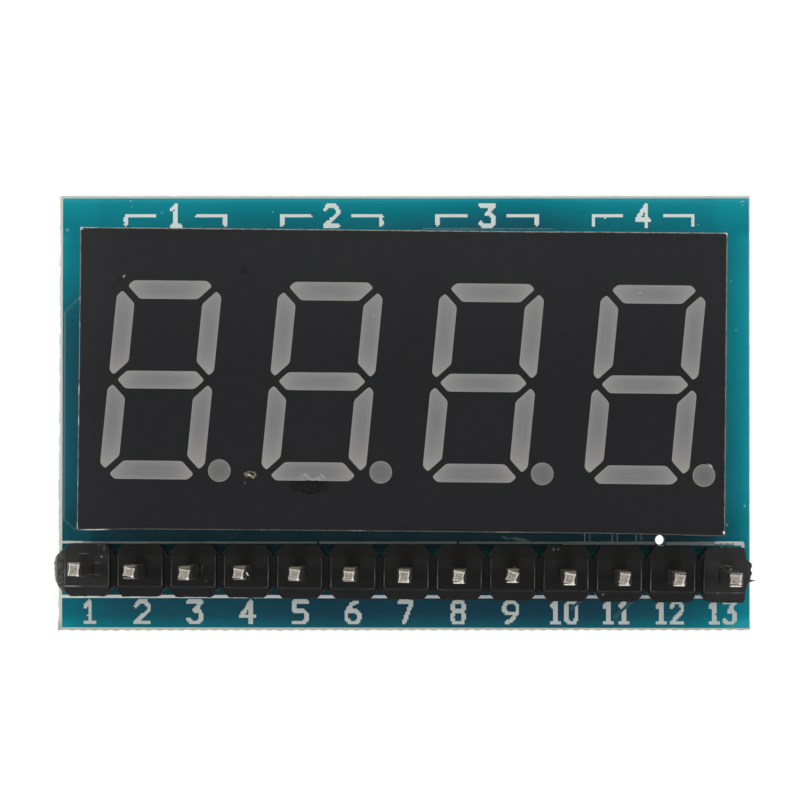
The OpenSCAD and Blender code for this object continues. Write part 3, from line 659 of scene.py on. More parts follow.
# Joins rings of points of equal count into a skin
def skin(bm, rings, closed=True):
    rows = [[bm.verts.new(p) for p in ring] for ring in rings]
    for lower, upper in zip(rows, rows[1:]):
        n = len(lower)
        for i in range(n if closed else n - 1):
            j = (i + 1) % n
            bm.faces.new((lower[i], lower[j], upper[j], upper[i]))
    return rows


# An empty mesh and the attributes that its finish reads
def emptyMesh(*words):
    bm = bmesh.new()
    return bm, *[bm.verts.layers.float.new(word) for word in words]


# The four sides of an outline, going round: name, start, way and length
def sides(left, low, right, high):
    long, wide = right - left, high - low
    return [("bottom", Vector((left, low)), Vector((1, 0)), long),
            ("right", Vector((right, low)), Vector((0, 1)), wide),
            ("top", Vector((right, high)), Vector((-1, 0)), long),
            ("left", Vector((left, high)), Vector((0, -1)), wide)]


# Gives the points of some rows one value of an attribute
def tint(layer, value, *rows):
    for row in rows:
        for v in row:
            v[layer] = value


def roughly(*place):
    return noise.noise(Vector(place))


# Printed board with its snapped edges
board = {
    "step": 0.11,             # spacing of the points round the outline
    "scoreDepth": 0.45,
    # how far each score stands out from the coating at its start and end, going round
    "score": {"bottom": (0.1, 0.05), "right": (0.045, 0.05), "top": (0.11, 0.12), "left": (0.07, 0.12)},
    "web": {"bottom": 0.09, "right": 0.04, "top": 0.06, "left": 0.16},   # reach of each snapped web
    "nickPitch": 0.53,        # spacing of the saw's nicks along the bottom web
    "holeSides": 24, "pinHole": 0.5, "displayHole": 0.4,
    "via": (12.34, -6.01, 0.24),
}


def webReach(side, s):
    reach = board["web"][side]
    jag = roughly(s * 2.1, reach * 40, 3.0) + 0.6 * roughly(s * 6.0, reach * 40, 9.0)
    if side == "bottom":
        jag = jag * 0.4 + 0.75 * math.cos(s * math.tau / board["nickPitch"])
    return reach * (0.72 + 0.34 * max(-1.6, min(0.8, jag)))


def boardSkin():
    low, high = corners("front_coating")
    coreTop = low.z
    coreLow = corners("rear_coating")[1].z
    runs = sides(low.x, low.y, high.x, high.y)
    points = []               # each a place on the coating's outline, with the ways out from it
    for k, (side, start, way, length) in enumerate(runs):
        count = round(length / (board["step"] * mm))
        out = Vector((way.y, -way.x, 0))
        for i in range(count):
            s = i / count * length
            ways = [(out, side, s / mm, s / length)]
            if i == 0:                               # a corner's point leans out both ways
                before, _, past, whole = runs[k - 1]
                ways.append((Vector((past.y, -past.x, 0)), before, whole / mm, 1.0))
            points.append((Vector((start.x + way.x * s, start.y + way.y * s, 0)), ways))
    thick = (coreTop - coreLow) / mm
    depth = board["scoreDepth"]
    # Depth below the face, share of the score's depth and share of the web's reach
    levels = [(0.0, 0.0, 0.0), (0.02, 0.01, 0.0), (depth, 1.0, 0.0), (depth + 0.03, 1.0, 0.75),
              (depth + 0.16, 1.0, 1.0), (thick / 2, 1.0, 0.85), (thick - depth - 0.14, 1.0, 0.95),
              (thick - depth - 0.02, 1.0, 0.6), (thick - depth, 1.0, 0.0), (thick, 0.0, 0.0)]
    bm, webbed = emptyMesh("web")
    rings = []
    for k, (down, score, web) in enumerate(levels):
        ring = []
        for p, ways in points:
            spot = p + Vector((0, 0, coreTop - down * mm))
            for out, side, s, share in ways:
                wander = 0.012 * roughly(s * 3.0, k * 5.0, 1.0)
                start, end = board["score"][side]
                scored = start + (end - start) * share
                spot += out * (score * scored + web * (webReach(side, s + k * 0.02) + wander)) * mm
            ring.append(spot)
        rings.append(ring)
    rows = skin(bm, rings)
    for row, (_, _, web) in zip(rows, levels):
        tint(webbed, min(1.0, web * 1.2), row)
    holes = [(middle(name), board["pinHole"]) for name in pinNames]
    holes += [(middle("display_pin_%d" % i), board["displayHole"]) for i in range(1, 13)]
    holes.append((placed(*board["via"][:2], 0, boardMid, rowTurn), board["via"][2]))
    walls = []
    for at, r in holes:
        turns = [math.tau * i / board["holeSides"] for i in range(board["holeSides"])]
        rims = [[Vector((at.x + r * mm * math.cos(a), at.y + r * mm * math.sin(a), z)) for a in turns]
                for z in (coreTop, coreLow)]
        walls.append(skin(bm, rims))
    for level in (0, -1):
        edges = []
        for row in [rows[level]] + [wall[level] for wall in walls]:
            edges += [bm.edges.get((row[i], row[(i + 1) % len(row)])) for i in range(len(row))]
        bmesh.ops.triangle_fill(bm, use_beauty=True, use_dissolve=False, edges=edges)
    return bm


piece("laminateBoard", boardSkin(), "laminate", ("circuit_board",))
print("board made")

# Printed marks: numbers in a stroke font, cut into small cells as a coarse print shows them, and lines
marks = {
    "thick": 0.014, "cell": 0.075, "stroke": 0.2, "jag": 0.012,
    "height": 1.0, "width": 0.62, "narrow": 0.5, "gap": 0.26,      # of a number
    "pinRow": -9.63, "digitRow": 9.52, "pinShift": -0.06,
    "bracket": (1.05, 2.4, 0.4),                     # start, end and drop of the line beside a number
    "stripeStep": 0.1199, "stripeWander": 0.012,
    # The upper line and what hangs below it: start, end, height, width and painted shading, darker as
    # painted shade above nothing and whiter as painted light below nothing
    "stripes": [
        (-16.58, -15.58, -6.26, 0.12, -1.0), (-15.58, -15.18, -6.27, 0.11, 0.3),
        (-15.18, -4.28, -6.27, 0.1, 1.0), (-4.16, 2.48, -6.27, 0.11, 1.0), (2.58, 7.6, -6.27, 0.11, 1.0),
        (7.6, 12.04, -6.285, 0.145, 1.0), (12.54, 14.26, -6.3, 0.16, 1.0), (14.26, 14.91, -6.3, 0.19, 0.75),
        (14.96, 15.86, -6.355, 0.05, 0.9), (12.18, 12.48, -6.405, 0.06, -1.0),
    ],
    "lineCell": 0.05,
    "lines": [                # the lower and the right line and the corner: path, width and painted shading
        ([(14.91, -6.26), (16.26, -6.26)], 0.13, -1.0),
        ([(15.91, -6.33), (16.26, -6.33), (16.26, -6.47)], 0.14, -1.0),
        ([(15.21, -6.49), (15.26, -6.49)], 0.04, 0.9), ([(15.6, -6.47), (15.66, -6.47)], 0.04, 0.9),
        ([(-16.58, -8.865), (16.26, -8.865), (16.26, -6.77)], 0.16, -1.0),
    ],
}
strokes = {
    "0": [[(0.25, 0), (0.75, 0), (1, 0.2), (1, 0.8), (0.75, 1), (0.25, 1), (0, 0.8), (0, 0.2), (0.25, 0)]],
    "1": [[(0.15, 0.8), (0.5, 1), (0.5, 0)], [(0.15, 0), (0.85, 0)]],
    "2": [[(0, 0.8), (0.25, 1), (0.75, 1), (1, 0.8), (1, 0.6), (0, 0), (1, 0)]],
    "3": [[(0, 1), (1, 1), (0.45, 0.58), (0.75, 0.58), (1, 0.4), (1, 0.15), (0.75, 0), (0.2, 0), (0, 0.15)]],
    "4": [[(0.75, 0), (0.75, 1), (0, 0.3), (1, 0.3)]],
    "5": [[(1, 1), (0, 1), (0, 0.58), (0.75, 0.58), (1, 0.4), (1, 0.18), (0.75, 0), (0, 0)]],
    "6": [[(0.85, 1), (0.35, 0.85), (0, 0.45), (0, 0.18), (0.25, 0), (0.75, 0), (1, 0.18), (1, 0.4),
           (0.75, 0.55), (0.1, 0.55)]],
    "7": [[(0, 1), (1, 1), (0.4, 0)]],
    "8": [[(0.25, 0.55), (0, 0.75), (0.2, 1), (0.8, 1), (1, 0.75), (0.75, 0.55), (0.25, 0.55), (0, 0.3),
           (0.2, 0), (0.8, 0), (1, 0.3), (0.75, 0.55)]],
    "9": [[(0.15, 0), (0.65, 0.15), (1, 0.55), (1, 0.82), (0.75, 1), (0.25, 1), (0, 0.82), (0, 0.6),
           (0.25, 0.45), (0.9, 0.45)]],
}


def nearest(p, a, b):
    ab = b - a
    t = max(0.0, min(1.0, (p - a).dot(ab) / max(ab.length_squared, 1e-12)))
    return (p - (a + ab * t)).length


# Fills the cells that lie under the strokes, each stroke in millimetres from the board's middle
def printCells(bm, shadingLayer, paths, width, cell, faint=0.0):
    filled, jag = set(), marks["jag"]
    for path in paths:
        for a, b in zip(path, path[1:]):
            a, b = Vector(a), Vector(b)
            reach = width / 2 + jag * 2
            low, high = ([int((end(a[k], b[k]) + way * reach) // cell) for k in (0, 1)]
                         for end, way in ((min, -1), (max, 1)))
            for i in range(low[0], high[0] + 2):
                for j in range(low[1], high[1] + 2):
                    p = Vector(((i + 0.5) * cell, (j + 0.5) * cell))
                    if nearest(p, a, b) < width / 2 + jag * roughly(p.x * 7, p.y * 7, 2.0):
                        filled.add((i, j))
    top, low = boardTop + marks["thick"] * mm, boardTop

    def corner(i, j, z):
        made = bm.verts.new(placed(i * cell, j * cell, z))
        made[shadingLayer] = faint
        return made

    for i, j in sorted(filled):
        bm.faces.new([corner(i + a, j + b, top) for a, b in ((0, 0), (1, 0), (1, 1), (0, 1))])
        # A wall on each side where the next cell is empty
        for di, dj, ends in ((-1, 0, ((0, 1), (0, 0))), (1, 0, ((1, 0), (1, 1))),
                             (0, -1, ((0, 0), (1, 0))), (0, 1, ((1, 1), (0, 1)))):
            if (i + di, j + dj) not in filled:
                (a, b), (c, d) = ends
                bm.faces.new([corner(i + a, j + b, top), corner(i + a, j + b, low),
                              corner(i + c, j + d, low), corner(i + c, j + d, top)])


def numberPaths(text, x, y, height, width, gap):
    whole = len(text) * width + (len(text) - 1) * gap
    paths = []
    for k, letter in enumerate(text):
        left = x - whole / 2 + k * (width + gap)
        for stroke in strokes[letter]:
            paths.append([(left + u * width, y + (v - 0.5) * height) for u, v in stroke])
    return paths


def numberMarks():
    bm, shadingLayer = emptyMesh("faint")
    for i, name in enumerate(digitNames):
        x, y = (middle(name).x - boardMid.x) / mm, marks["digitRow"]
        paths = numberPaths(str(i + 1), x, y, marks["height"], marks["width"], 0)
        start, end, drop = marks["bracket"]
        for way in (-1, 1):
            paths.append([(x + way * start, y), (x + way * end, y), (x + way * end, y - drop)])
        printCells(bm, shadingLayer, paths, marks["stroke"], marks["cell"])
    for i, name in enumerate(pinNames):
        x = (middle(name).x - boardMid.x) / mm + marks["pinShift"]
        width = marks["width"] if i < 9 else marks["narrow"]
        paths = numberPaths(str(i + 1), x, marks["pinRow"], marks["height"], width, marks["gap"])
        printCells(bm, shadingLayer, paths, marks["stroke"], marks["cell"])
    return bm


# A smooth printed bar whose edges wander a little and whose ink comes and goes
def stripe(bm, shadingLayer, start, end, y, width, faint):
    count = max(2, round((end - start) / marks["stripeStep"]))
    top, low = boardTop + marks["thick"] * mm, boardTop
    rows, tones = [], []
    for i in range(count + 1):
        x = start + (end - start) * i / count
        up = y + width / 2 + marks["stripeWander"] * roughly(x * 2, 1.0, y)
        down = y - width / 2 + marks["stripeWander"] * roughly(x * 2, 8.0, y)
        rows.append([placed(x, down, low), placed(x, down, top), placed(x, up, top), placed(x, up, low)])
        tones.append(faint - 0.35 * max(0.0, roughly(x * 0.9, 3.0, 1.0)))
    made = skin(bm, rows, False)
    bm.faces.new(made[0])
    bm.faces.new(list(reversed(made[-1])))
    for row, tone in zip(made, tones):
        tint(shadingLayer, tone, row)


def lineMarks():
    bm, shadingLayer = emptyMesh("faint")
    for start, end, y, width, faint in marks["stripes"]:
        stripe(bm, shadingLayer, start, end, y, width, faint)
    for path, width, faint in marks["lines"]:
        printCells(bm, shadingLayer, [path], width, marks["lineCell"], faint)
    return bm


piece("printedNumbers", numberMarks(), "coating", (), "ink")
piece("printedLines", lineMarks(), "coating", (), "ink")
print("marks made")

# Copper tracks that show as ridges under the coating, each a path and a width
tracks = {
    "rise": 0.018, "slope": 0.035,
    "paths": [
        ([(-14.8, 5.5), (-15.84, 5.5), (-16.47, 4.87), (-16.47, -5.19), (-15.95, -5.68)], 0.04),
        ([(0.8, 8.80), (7.0, 8.80), (7.6, 8.4)], 0.2),
        ([(8.77, -5.5), (8.77, -6.2)], 0.225), ([(10.10, -5.5), (10.10, -6.2)], 0.225),
        ([(11.25, -5.5), (11.25, -6.2)], 0.225), ([(7.94, -9.5), (8.6, -8.9)], 0.12),
        ([(10.05, -9.9), (11.0, -9.0)], 0.12),
    ],
}


def ribbon(bm, seam, path, width):
    half, slope, rise = width / 2, tracks["slope"], tracks["rise"]
    profile = ((half + slope, 0), (half, rise), (0, rise), (-half, rise), (-half - slope, 0))
    points = [Vector(p) for p in path]
    rows = []
    for i, p in enumerate(points):
        before = (p - points[i - 1]).normalized() if i else (points[1] - p).normalized()
        after = (points[i + 1] - p).normalized() if i < len(points) - 1 else before
        mean = (before + after).normalized()
        across = Vector((-mean.y, mean.x)) / mean.dot(after)
        rows.append([placed(*(p + across * o), boardTop + h * mm) for o, h in profile])
    made = skin(bm, rows, False)
    for row in made:
        # the sloping sides of each track carry the painted highlight
        for k in (1, 3):
            row[k][seam] = 1.0
    bm.faces.new(made[0])
    bm.faces.new(list(reversed(made[-1])))


def frontTracks():
    bm, seam = emptyMesh("seam")
    for path, width in tracks["paths"]:
        ribbon(bm, seam, path, width)
    return bm


piece("frontTracks", frontTracks(), "coating")
print("tracks made")

# Digits: resin with a fine skin of rings, so that its depth can shade from rim to core
lens = {
    "rings": (0.0, 0.05, 0.12, 0.24, 0.42, 0.62, 0.82, 1.0), "step": 0.16, "dip": 0.02, "slant": 5.0,
    "wall": 0.9, "foot": 1.8,                        # height of the straight lip, and of the well's floor
    # How much paler a bar grows along its length, away from the die: lying bars, then the standing ones
    "level": [(-1, 0.95), (-0.88, 0.55), (-0.63, 0.17), (-0.35, 0.03), (0.35, 0.05), (0.63, 0.25),
              (0.88, 0.65), (1, 1.1)],
    "upper": [(-1, 1.2), (-0.88, 0.75), (-0.63, 0.24), (-0.38, 0.06), (0.5, 0.0), (1, 0.08)],
    "lower": [(-1, 1.6), (-0.88, 1.15), (-0.63, 0.62), (-0.38, 0.4), (-0.12, 0.22), (0.12, 0.06),
              (0.4, 0.0)],
}


# Outlines of the flat faces at the top of a mesh
def topLoops(bm, top):
    faces = [f for f in bm.faces if f.normal.z > 0.99 and abs(f.calc_center_median().z - top) < 0.004 * mm]
    inside = set(faces)
    edges = [e for f in faces for e in f.edges if sum(g in inside for g in e.link_faces) == 1]
    ways = {}
    for e in edges:
        for v in e.verts:
            ways.setdefault(v, []).append(e)
    loops, seen = [], set()
    for first in ways:
        if first in seen:
            continue
        loop, at = [], first
        while at not in seen:
            seen.add(at)
            loop.append(at)
            step = [e.other_vert(at) for e in ways[at] if e.other_vert(at) not in seen]
            if not step:
                break
            at = step[0]
        loops.append([v.co.copy() for v in loop])
    return loops


# A loop's points with more between them, none further apart than about a step
def evenly(loop, step):
    points = []
    for a, b in zip(loop, loop[1:] + loop[:1]):
        count = max(1, round((b - a).length / (step * mm)))
        points += [a.lerp(b, i / count) for i in range(count)]
    return points


def lensMesh(node):
    top = corners(node)[1].z
    cad = bmesh.new()
    cad.from_mesh(nodes[node].data)
    bmesh.ops.remove_doubles(cad, verts=cad.verts, dist=0.001 * mm)
    bm, deep, dotted, tipped = emptyMesh("depth", "dot", "tip")
    slant = math.radians(lens["slant"])
    for loop in topLoops(cad, top):
        points = evenly(loop, lens["step"])
        mid = sum(points, Vector()) / len(points)
        far = max(points, key=lambda p: (p - mid).length)
        reach = (far - mid).length
        half = min((p - mid).length for p in points)
        isDot = reach < half * 1.3
        level = abs((far - mid).normalized().y) < 0.5
        way = Vector((1, 0, 0)) if level else Vector((math.sin(slant), math.cos(slant), 0))
        spine = 0.0 if isDot else reach - half * 1.15
        tips = lens["level" if level else "lower" if mid.y < middle(node).y else "upper"]
        rows = []
        for t in lens["rings"]:
            row, dip = [], Vector((0, 0, lens["dip"] * mm * t * (2 - t)))
            for p in points:
                slide = max(-spine, min(spine, (p - mid).dot(way) * 0.86))
                row.append(p.lerp(mid + way * slide, t * 0.96) - dip)
            rows.append(row)
        made = skin(bm, rows)
        bm.faces.new(made[-1])
        for t, row in zip(lens["rings"], made):
            for v in row:
                ends = abs((v.co - mid).dot(way)) / reach
                v[deep] = (1 - (1 - t) ** 2.2) * (1 if isDot else max(0.0, 1 - ends ** 2 * 0.75))
                v[dotted] = 1.0 if isDot else 0.0
                v[tipped] = 0.0 if isDot else between(tips, (v.co - mid).dot(way) / reach)
        foot = boardTop + lens["foot"] * mm - top
        walls = [rows[0], [p - Vector((0, 0, lens["wall"] * mm)) for p in rows[0]],
                 [mid + (p - mid) * 0.55 + Vector((0, 0, foot)) for p in rows[0]]]
        lower = skin(bm, walls)
        bm.faces.new(list(reversed(lower[-1])))
        tint(dotted, 1.0 if isDot else 0.0, *lower)
    cad.free()
    return bm


for node in digitNames:
    piece("resin" + node[-1], lensMesh(node), "light_resin", (node,))
print("digits made")

# Film edge: the black sheet stands a little past the housing, with a lip all round whose pale colour is wear
# and painted highlight
sheet = {
    "step": 0.3, "thick": 0.12, "inward": 0.22, "lip": 0.035, "raise": 0.006, "corner": -0.025,
    "wander": 0.012,
    "past": {                 # places along each side from its middle, and how far the sheet stands out
        "bottom": [(-15.2, 0.125), (-14.2, 0.11), (-13.0, 0.06), (-9.0, 0.045), (-3.0, 0.03), (9.0, 0.025),
                   (12.5, 0.05), (13.8, 0.085), (15.2, 0.085)],
        "right": [(-7.2, 0.06), (7.2, 0.06)],
        "top": [(-15.2, 0.05), (6.0, 0.045), (9.0, 0.06), (15.2, 0.065)],
        "left": [(-7.2, 0.058), (5.5, 0.055), (7.2, 0.07)],
    },
}


def sheetEdge():
    spread = [swung((v.co.x - faceMid.x) / mm, (v.co.y - faceMid.y) / mm, -rowTurn)
              for v in nodes["display_housing"].data.vertices]
    left, right = min(p[0] for p in spread), max(p[0] for p in spread)
    low, high = min(p[1] for p in spread), max(p[1] for p in spread)
    bm, worn = emptyMesh("worn")
    # Distance in from the edge, height against the film's face and wear
    levels = [(0.0, -sheet["thick"], 1.0), (0.0, -0.02, 1.0), (0.012, sheet["raise"], 1.0),
              (sheet["lip"], sheet["raise"], 0.8), (sheet["lip"] + 0.02, sheet["raise"], 0.0),
              (sheet["inward"], sheet["raise"], 0.0), (sheet["inward"], -sheet["thick"], 0.0)]
    rings = []
    for inward, z, _ in levels:
        ring = []
        for side, start, way, length in sides(left, low, right, high):
            out = Vector((way.y, -way.x))
            count = round(length / sheet["step"])
            ease = sheet["corner"] + inward          # each ring's corner is cut off by the same small amount
            for i in range(count + 1):
                at = ease + (length - 2 * ease) * i / count
                p = start + way * at
                past = between(sheet["past"][side], p.x if way.x else p.y)
                past += sheet["wander"] * (roughly(at * 3, length, 5.0) - 0.5)
                p = p + out * (past - inward)
                ring.append(placed(p.x, p.y, faceTop + z * mm, faceMid, rowTurn))
        rings.append(ring)
    rows = skin(bm, rings)
    for row, (_, _, wear) in zip(rows, levels):
        tint(worn, wear, row)
    count = len(rows[0])
    for i in range(count):
        bm.faces.new((rows[-1][i], rows[-1][(i + 1) % count], rows[0][(i + 1) % count], rows[0][i]))
    return bm


piece("filmEdge", sheetEdge(), "film")
print("film edge made")

# Pins: square drawn wire, leaning a little, each with a pinched and turned cut face at its tip
pins = {
    "half": 0.318, "foot": 0.245, "across": 0.268, "ease": 0.03, "seed": 11,
    "lean": [(-0.12, 0.106), (-0.059, 0.007), (-0.058, -0.022), (-0.022, 0.019), (-0.014, -0.005),
             (-0.039, -0.011), (-0.032, -0.04), (-0.013, -0.05), (-0.078, 0.014), (0.042, -0.071),
             (0.031, -0.072), (0.028, -0.063), (0.108, -0.069)],
    "cutShift": [(0.02, -0.023), (-0.03, -0.001), (-0.01, -0.046), (-0.06, -0.024), (-0.03, -0.031),
                 (-0.016, -0.04), (-0.006, -0.023), (-0.03, 0.014), (-0.03, -0.014), (-0.03, -0.006),
                 (-0.02, 0.014), (-0.01, -0.016), (-0.03, 0.014)],
    "cutSize": [(0.255, 0.275), (0.26, 0.21), (0.255, 0.225), (0.25, 0.215), (0.245, 0.24), (0.27, 0.215),
                (0.265, 0.265), (0.25, 0.24), (0.26, 0.225), (0.245, 0.225), (0.25, 0.255),
                (0.255, 0.235), (0.275, 0.225)],
    "cutTurn": [-5, -10, -9, -7, -8, -4, -4, -8, -18, -8, -10, -8, -2],
    "waist": (0.09, 0.22, 0.08, 0.17),               # pull of the back, left, front and right sides
    # how bright the painted highlight on the cut's rim is along those four sides
    "rim": [(0.95, 1.2, 0.5, 0.9), (0.9, 0.7, 0.25, 0.6), (0.65, 0.5, 0.15, 0.55), (0.9, 0.7, 0.3, 1.0),
            (0.85, 0.6, 0.25, 0.65), (1.0, 0.75, 0.25, 0.85), (0.9, 1.0, 0.4, 1.0), (1.0, 0.9, 0.6, 0.9),
            (1.0, 0.3, 0.15, 1.0), (1.1, 0.8, 0.3, 1.0), (0.7, 0.5, 0.3, 1.0), (0.6, 0.5, 0.15, 1.0),
            (0.7, 0.35, 0.25, 1.1)],
    "frontHighlight": [0.1, 0.22, 0.25, 0.2, 0.28, 0.3, 0.6, 1.0, 0.8, 1.0, 0.9, 1.0, 1.0],
    "backHighlight": [0.25, 0.1, 0.1, 0.05, 0.08, 0.08, 0.15, 0.1, 0.1, 0.1, 0.1, 0.15, 0.8],
    # Rings below the cut: depth, and how much narrower than the pin from side to side and front to back
    "neck": [(0.12, 0, 0), (0.1, 0.008, 0.008), (0.075, 0.02, 0.055), (0.07, 0.026, 0.064)],
    # Rings of the cut: depth, how much less than the cut's half size, and share of the waist
    "cut": [(0.035, -0.012, 0.7), (0.01, -0.008, 1), (0.0, 0.014, 1), (0.004, 0.046, 1), (0.012, 0.085, 1)],
    # A torn sliver at one pin's side: its foot and head from the pin's tip, half width and thickness
    "sliver": {"pin": 3, "foot": (0.38, -0.11, 0.3), "head": (0.14, 0.25, 0.12), "half": (0.02, 0.012),
               "thick": 0.03},
}


def pinMesh(index, node, rng):
    low, high = corners(node)
    at = (low + high) / 2
    bm, cut, lip, burn, olive, smear = emptyMesh(*pin["layers"])
    lean, cutTurn = pins["lean"][index], math.radians(pins["cutTurn"][index])
    signs = ((1, 1), (-1, 1), (-1, -1), (1, -1))     # corners; the sides face back, left, front and right
    wild = [rng.uniform(-0.06, 0.05) for corner in range(4)]
    steps = (0.0, 0.08, 0.16, 0.26, 0.38, 0.5, 0.62, 0.74, 0.84, 0.92)

    # A ring at a depth below the tip, with its half sizes, turn and shift, and how far its sides pull in
    def ring(down, halfX, halfY, turn=0.0, shift=(0, 0), waist=(0, 0, 0, 0), rough=0.0):
        z = high.z - down * mm
        share = max(0.0, (z - insulatorTop) / (pinTop - insulatorTop))
        moveX, moveY = lean[0] * share, lean[1] * share
        points = []
        for k in range(4):
            a, b = signs[k], signs[(k + 1) % 4]
            for t in steps:
                u, v = a[0] + (b[0] - a[0]) * t, a[1] + (b[1] - a[1]) * t
                pull = waist[k] * math.sin(math.pi * t)
                if k % 2:
                    u *= 1 - pull
                else:
                    v *= 1 - pull
                ease = pins["ease"] if t == 0.0 else 0
                grow = 1 + rough * (wild[k] * (1 - t) + wild[(k + 1) % 4] * t) - ease
                grow += 0.07 * rough * roughly(index * 5.3 + u * 2.6, v * 2.6, 4.0)
                x, y = swung(u * halfX * grow, v * halfY * grow, turn + rowTurn)
                x, y = x + moveX + shift[0], y + moveY + shift[1]
                points.append(Vector((at.x + x * mm, at.y + y * mm, z)))
        return points

    def cutRing(down, less, deep):
        cutX, cutY = pins["cutSize"][index]
        pull = tuple(w * deep for w in pins["waist"])
        return ring(down, cutX - less, cutY - less, cutTurn, pins["cutShift"][index], pull, 1.0)

    half, foot, wide = pins["half"], pins["foot"], pins["across"]
    long = (high.z - low.z) / mm
    proud = (high.z - insulatorTop) / mm
    rings = [ring(long, foot, foot), ring(long - 0.1, half, half), ring(proud, half, half),
             ring(proud / 2, half, half), ring(0.32, half, half), ring(0.3, half - 0.004, half)]
    rings += [ring(down, wide - lessX, half - lessY) for down, lessX, lessY in pins["neck"]]
    rings += [cutRing(*level) for level in pins["cut"]]
    made = skin(bm, rings)
    bm.faces.new(list(reversed(made[0])))
    bm.faces.new(made[-1])
    n, per = len(made[-1]), len(steps)
    # painted highlight bars on the back and front of the neck
    bar = [pins["backHighlight"][index], 0.0, pins["frontHighlight"][index], 0.0]
    for i in range(n):
        side, t = i // per, steps[i % per]
        glint = roughly(index * 3.1 + i * 0.7, 2.0, index)
        # the neck's rings take painted highlight bars, painted shade, and olive painted shade on the back
        # side
        for row in made[6:9]:
            row[i][lip] = bar[side] * (0.75 + 0.5 * glint)
            row[i][olive] = 1.0 if side == 0 else 0.0
            row[i][burn] = 1.0
            row[i][smear] = 1.0 if side == 0 and index == len(pinNames) - 1 else 0.0
        made[5][i][burn] = 1.0
        # the lowest rings of the neck and cut take painted shade, with olive painted shade on the back side
        for row in made[9:11]:
            row[i][burn] = 1.0
            row[i][olive] = 0.8 if side == 0 else 0.0
        # painted highlight on the cut's rim, brightest at a glint in one corner
        ends = pins["rim"][index][side - 1 if t == 0.0 else side]
        corner = 1.1 if (side == 3 and t < 0.2) or (side == 2 and t > 0.8) else 0.0
        shine = max(corner, (ends + pins["rim"][index][side]) / 2 * (0.62 + 0.9 * glint))
        made[11][i][lip] = shine * 0.7
        made[12][i][lip] = shine
        made[13][i][lip] = shine * (0.55 + 0.6 * glint)
        for row in made[11:]:
            row[i][cut] = 1.0
    if index == pins["sliver"]["pin"]:
        sliverMesh(bm, at + Vector((*lean, 0)) * mm, high.z, lip)
    return bm


# A thin shaving of metal that stands off the pin's right side, painted bright as a highlight
def sliverMesh(bm, at, top, lip):
    sliver = pins["sliver"]
    side = Vector((*sliver["half"], 0)) * mm
    rows = []
    for x, y, down in (sliver["foot"], sliver["head"]):
        p = Vector((at.x + x * mm, at.y + y * mm, top - down * mm))
        under = p - Vector((0, 0, sliver["thick"] * mm))
        rows.append([p - side, p + side, under + side, under - side])
    blade = skin(bm, rows)
    bm.faces.new(list(reversed(blade[0])))
    bm.faces.new(blade[1])
    tint(lip, 0.7, *blade)


rng = random.Random(pins["seed"])
for index, node in enumerate(pinNames):
    piece("squarePin%d" % (index + 1), pinMesh(index, node, rng), "pin", (node,))
print("pins made")

# Header insulator: the moulding with eased edges, wavy long sides and torn ends
block = {
    "ease": 0.035, "cut": 0.14, "cutsAcross": 16, "wave": 0.035, "grit": 0.006,
    "rightFrom": 0.9, "rightFull": 1.27,             # where the right end's reshaping begins and ends
    # Places across the row, and how far each end reaches there in place of its full reach
    "rightEnd": [(-1.25, 0.74), (-1.09, 0.9), (-0.88, 1.0), (-0.67, 0.98), (-0.38, 1.1), (-0.09, 1.2),
                 (0.18, 1.24), (0.39, 1.21), (0.5, 1.27), (0.65, 1.21), (0.82, 1.07), (1.08, 0.92),
                 (1.25, 0.86)],
    "leftLump": [(-1.1, -0.08), (-1.0, 0.0), (-0.84, 0.15), (-0.53, 0.28), (-0.25, 0.33), (0.0, 0.35),
                 (0.36, 0.36), (0.55, 0.34), (0.69, 0.26), (0.76, 0.14), (0.95, -0.04)],
    "lumpDrop": 0.75, "lumpSides": (-1.1, 0.95), "lumpSteps": 24, "lumpRoot": 0.3,
    # Levels of the lump: share of its reach, height from the board or from its own top, and whitening
    "lumpFoot": [(0.9, 0.02, 1.0), (1.0, 0.8, 1.0)],
    "lumpHead": [(1.0, -0.14, 1.0), (0.86, -0.03, 1.0), (0.6, 0, 0.8), (0.3, 0.02, 0.4)],
    "level": (0.0240, 3.5, 0.15),                    # growth of the back edge per block, start and most
    "burr": (1.2, -0.22, 0.9, 0.26),                 # torn spike at the right end: place, drop and length
    "burrBase": ((-0.09, 0), (0, -0.07), (0.09, 0), (0, 0.05)),
}


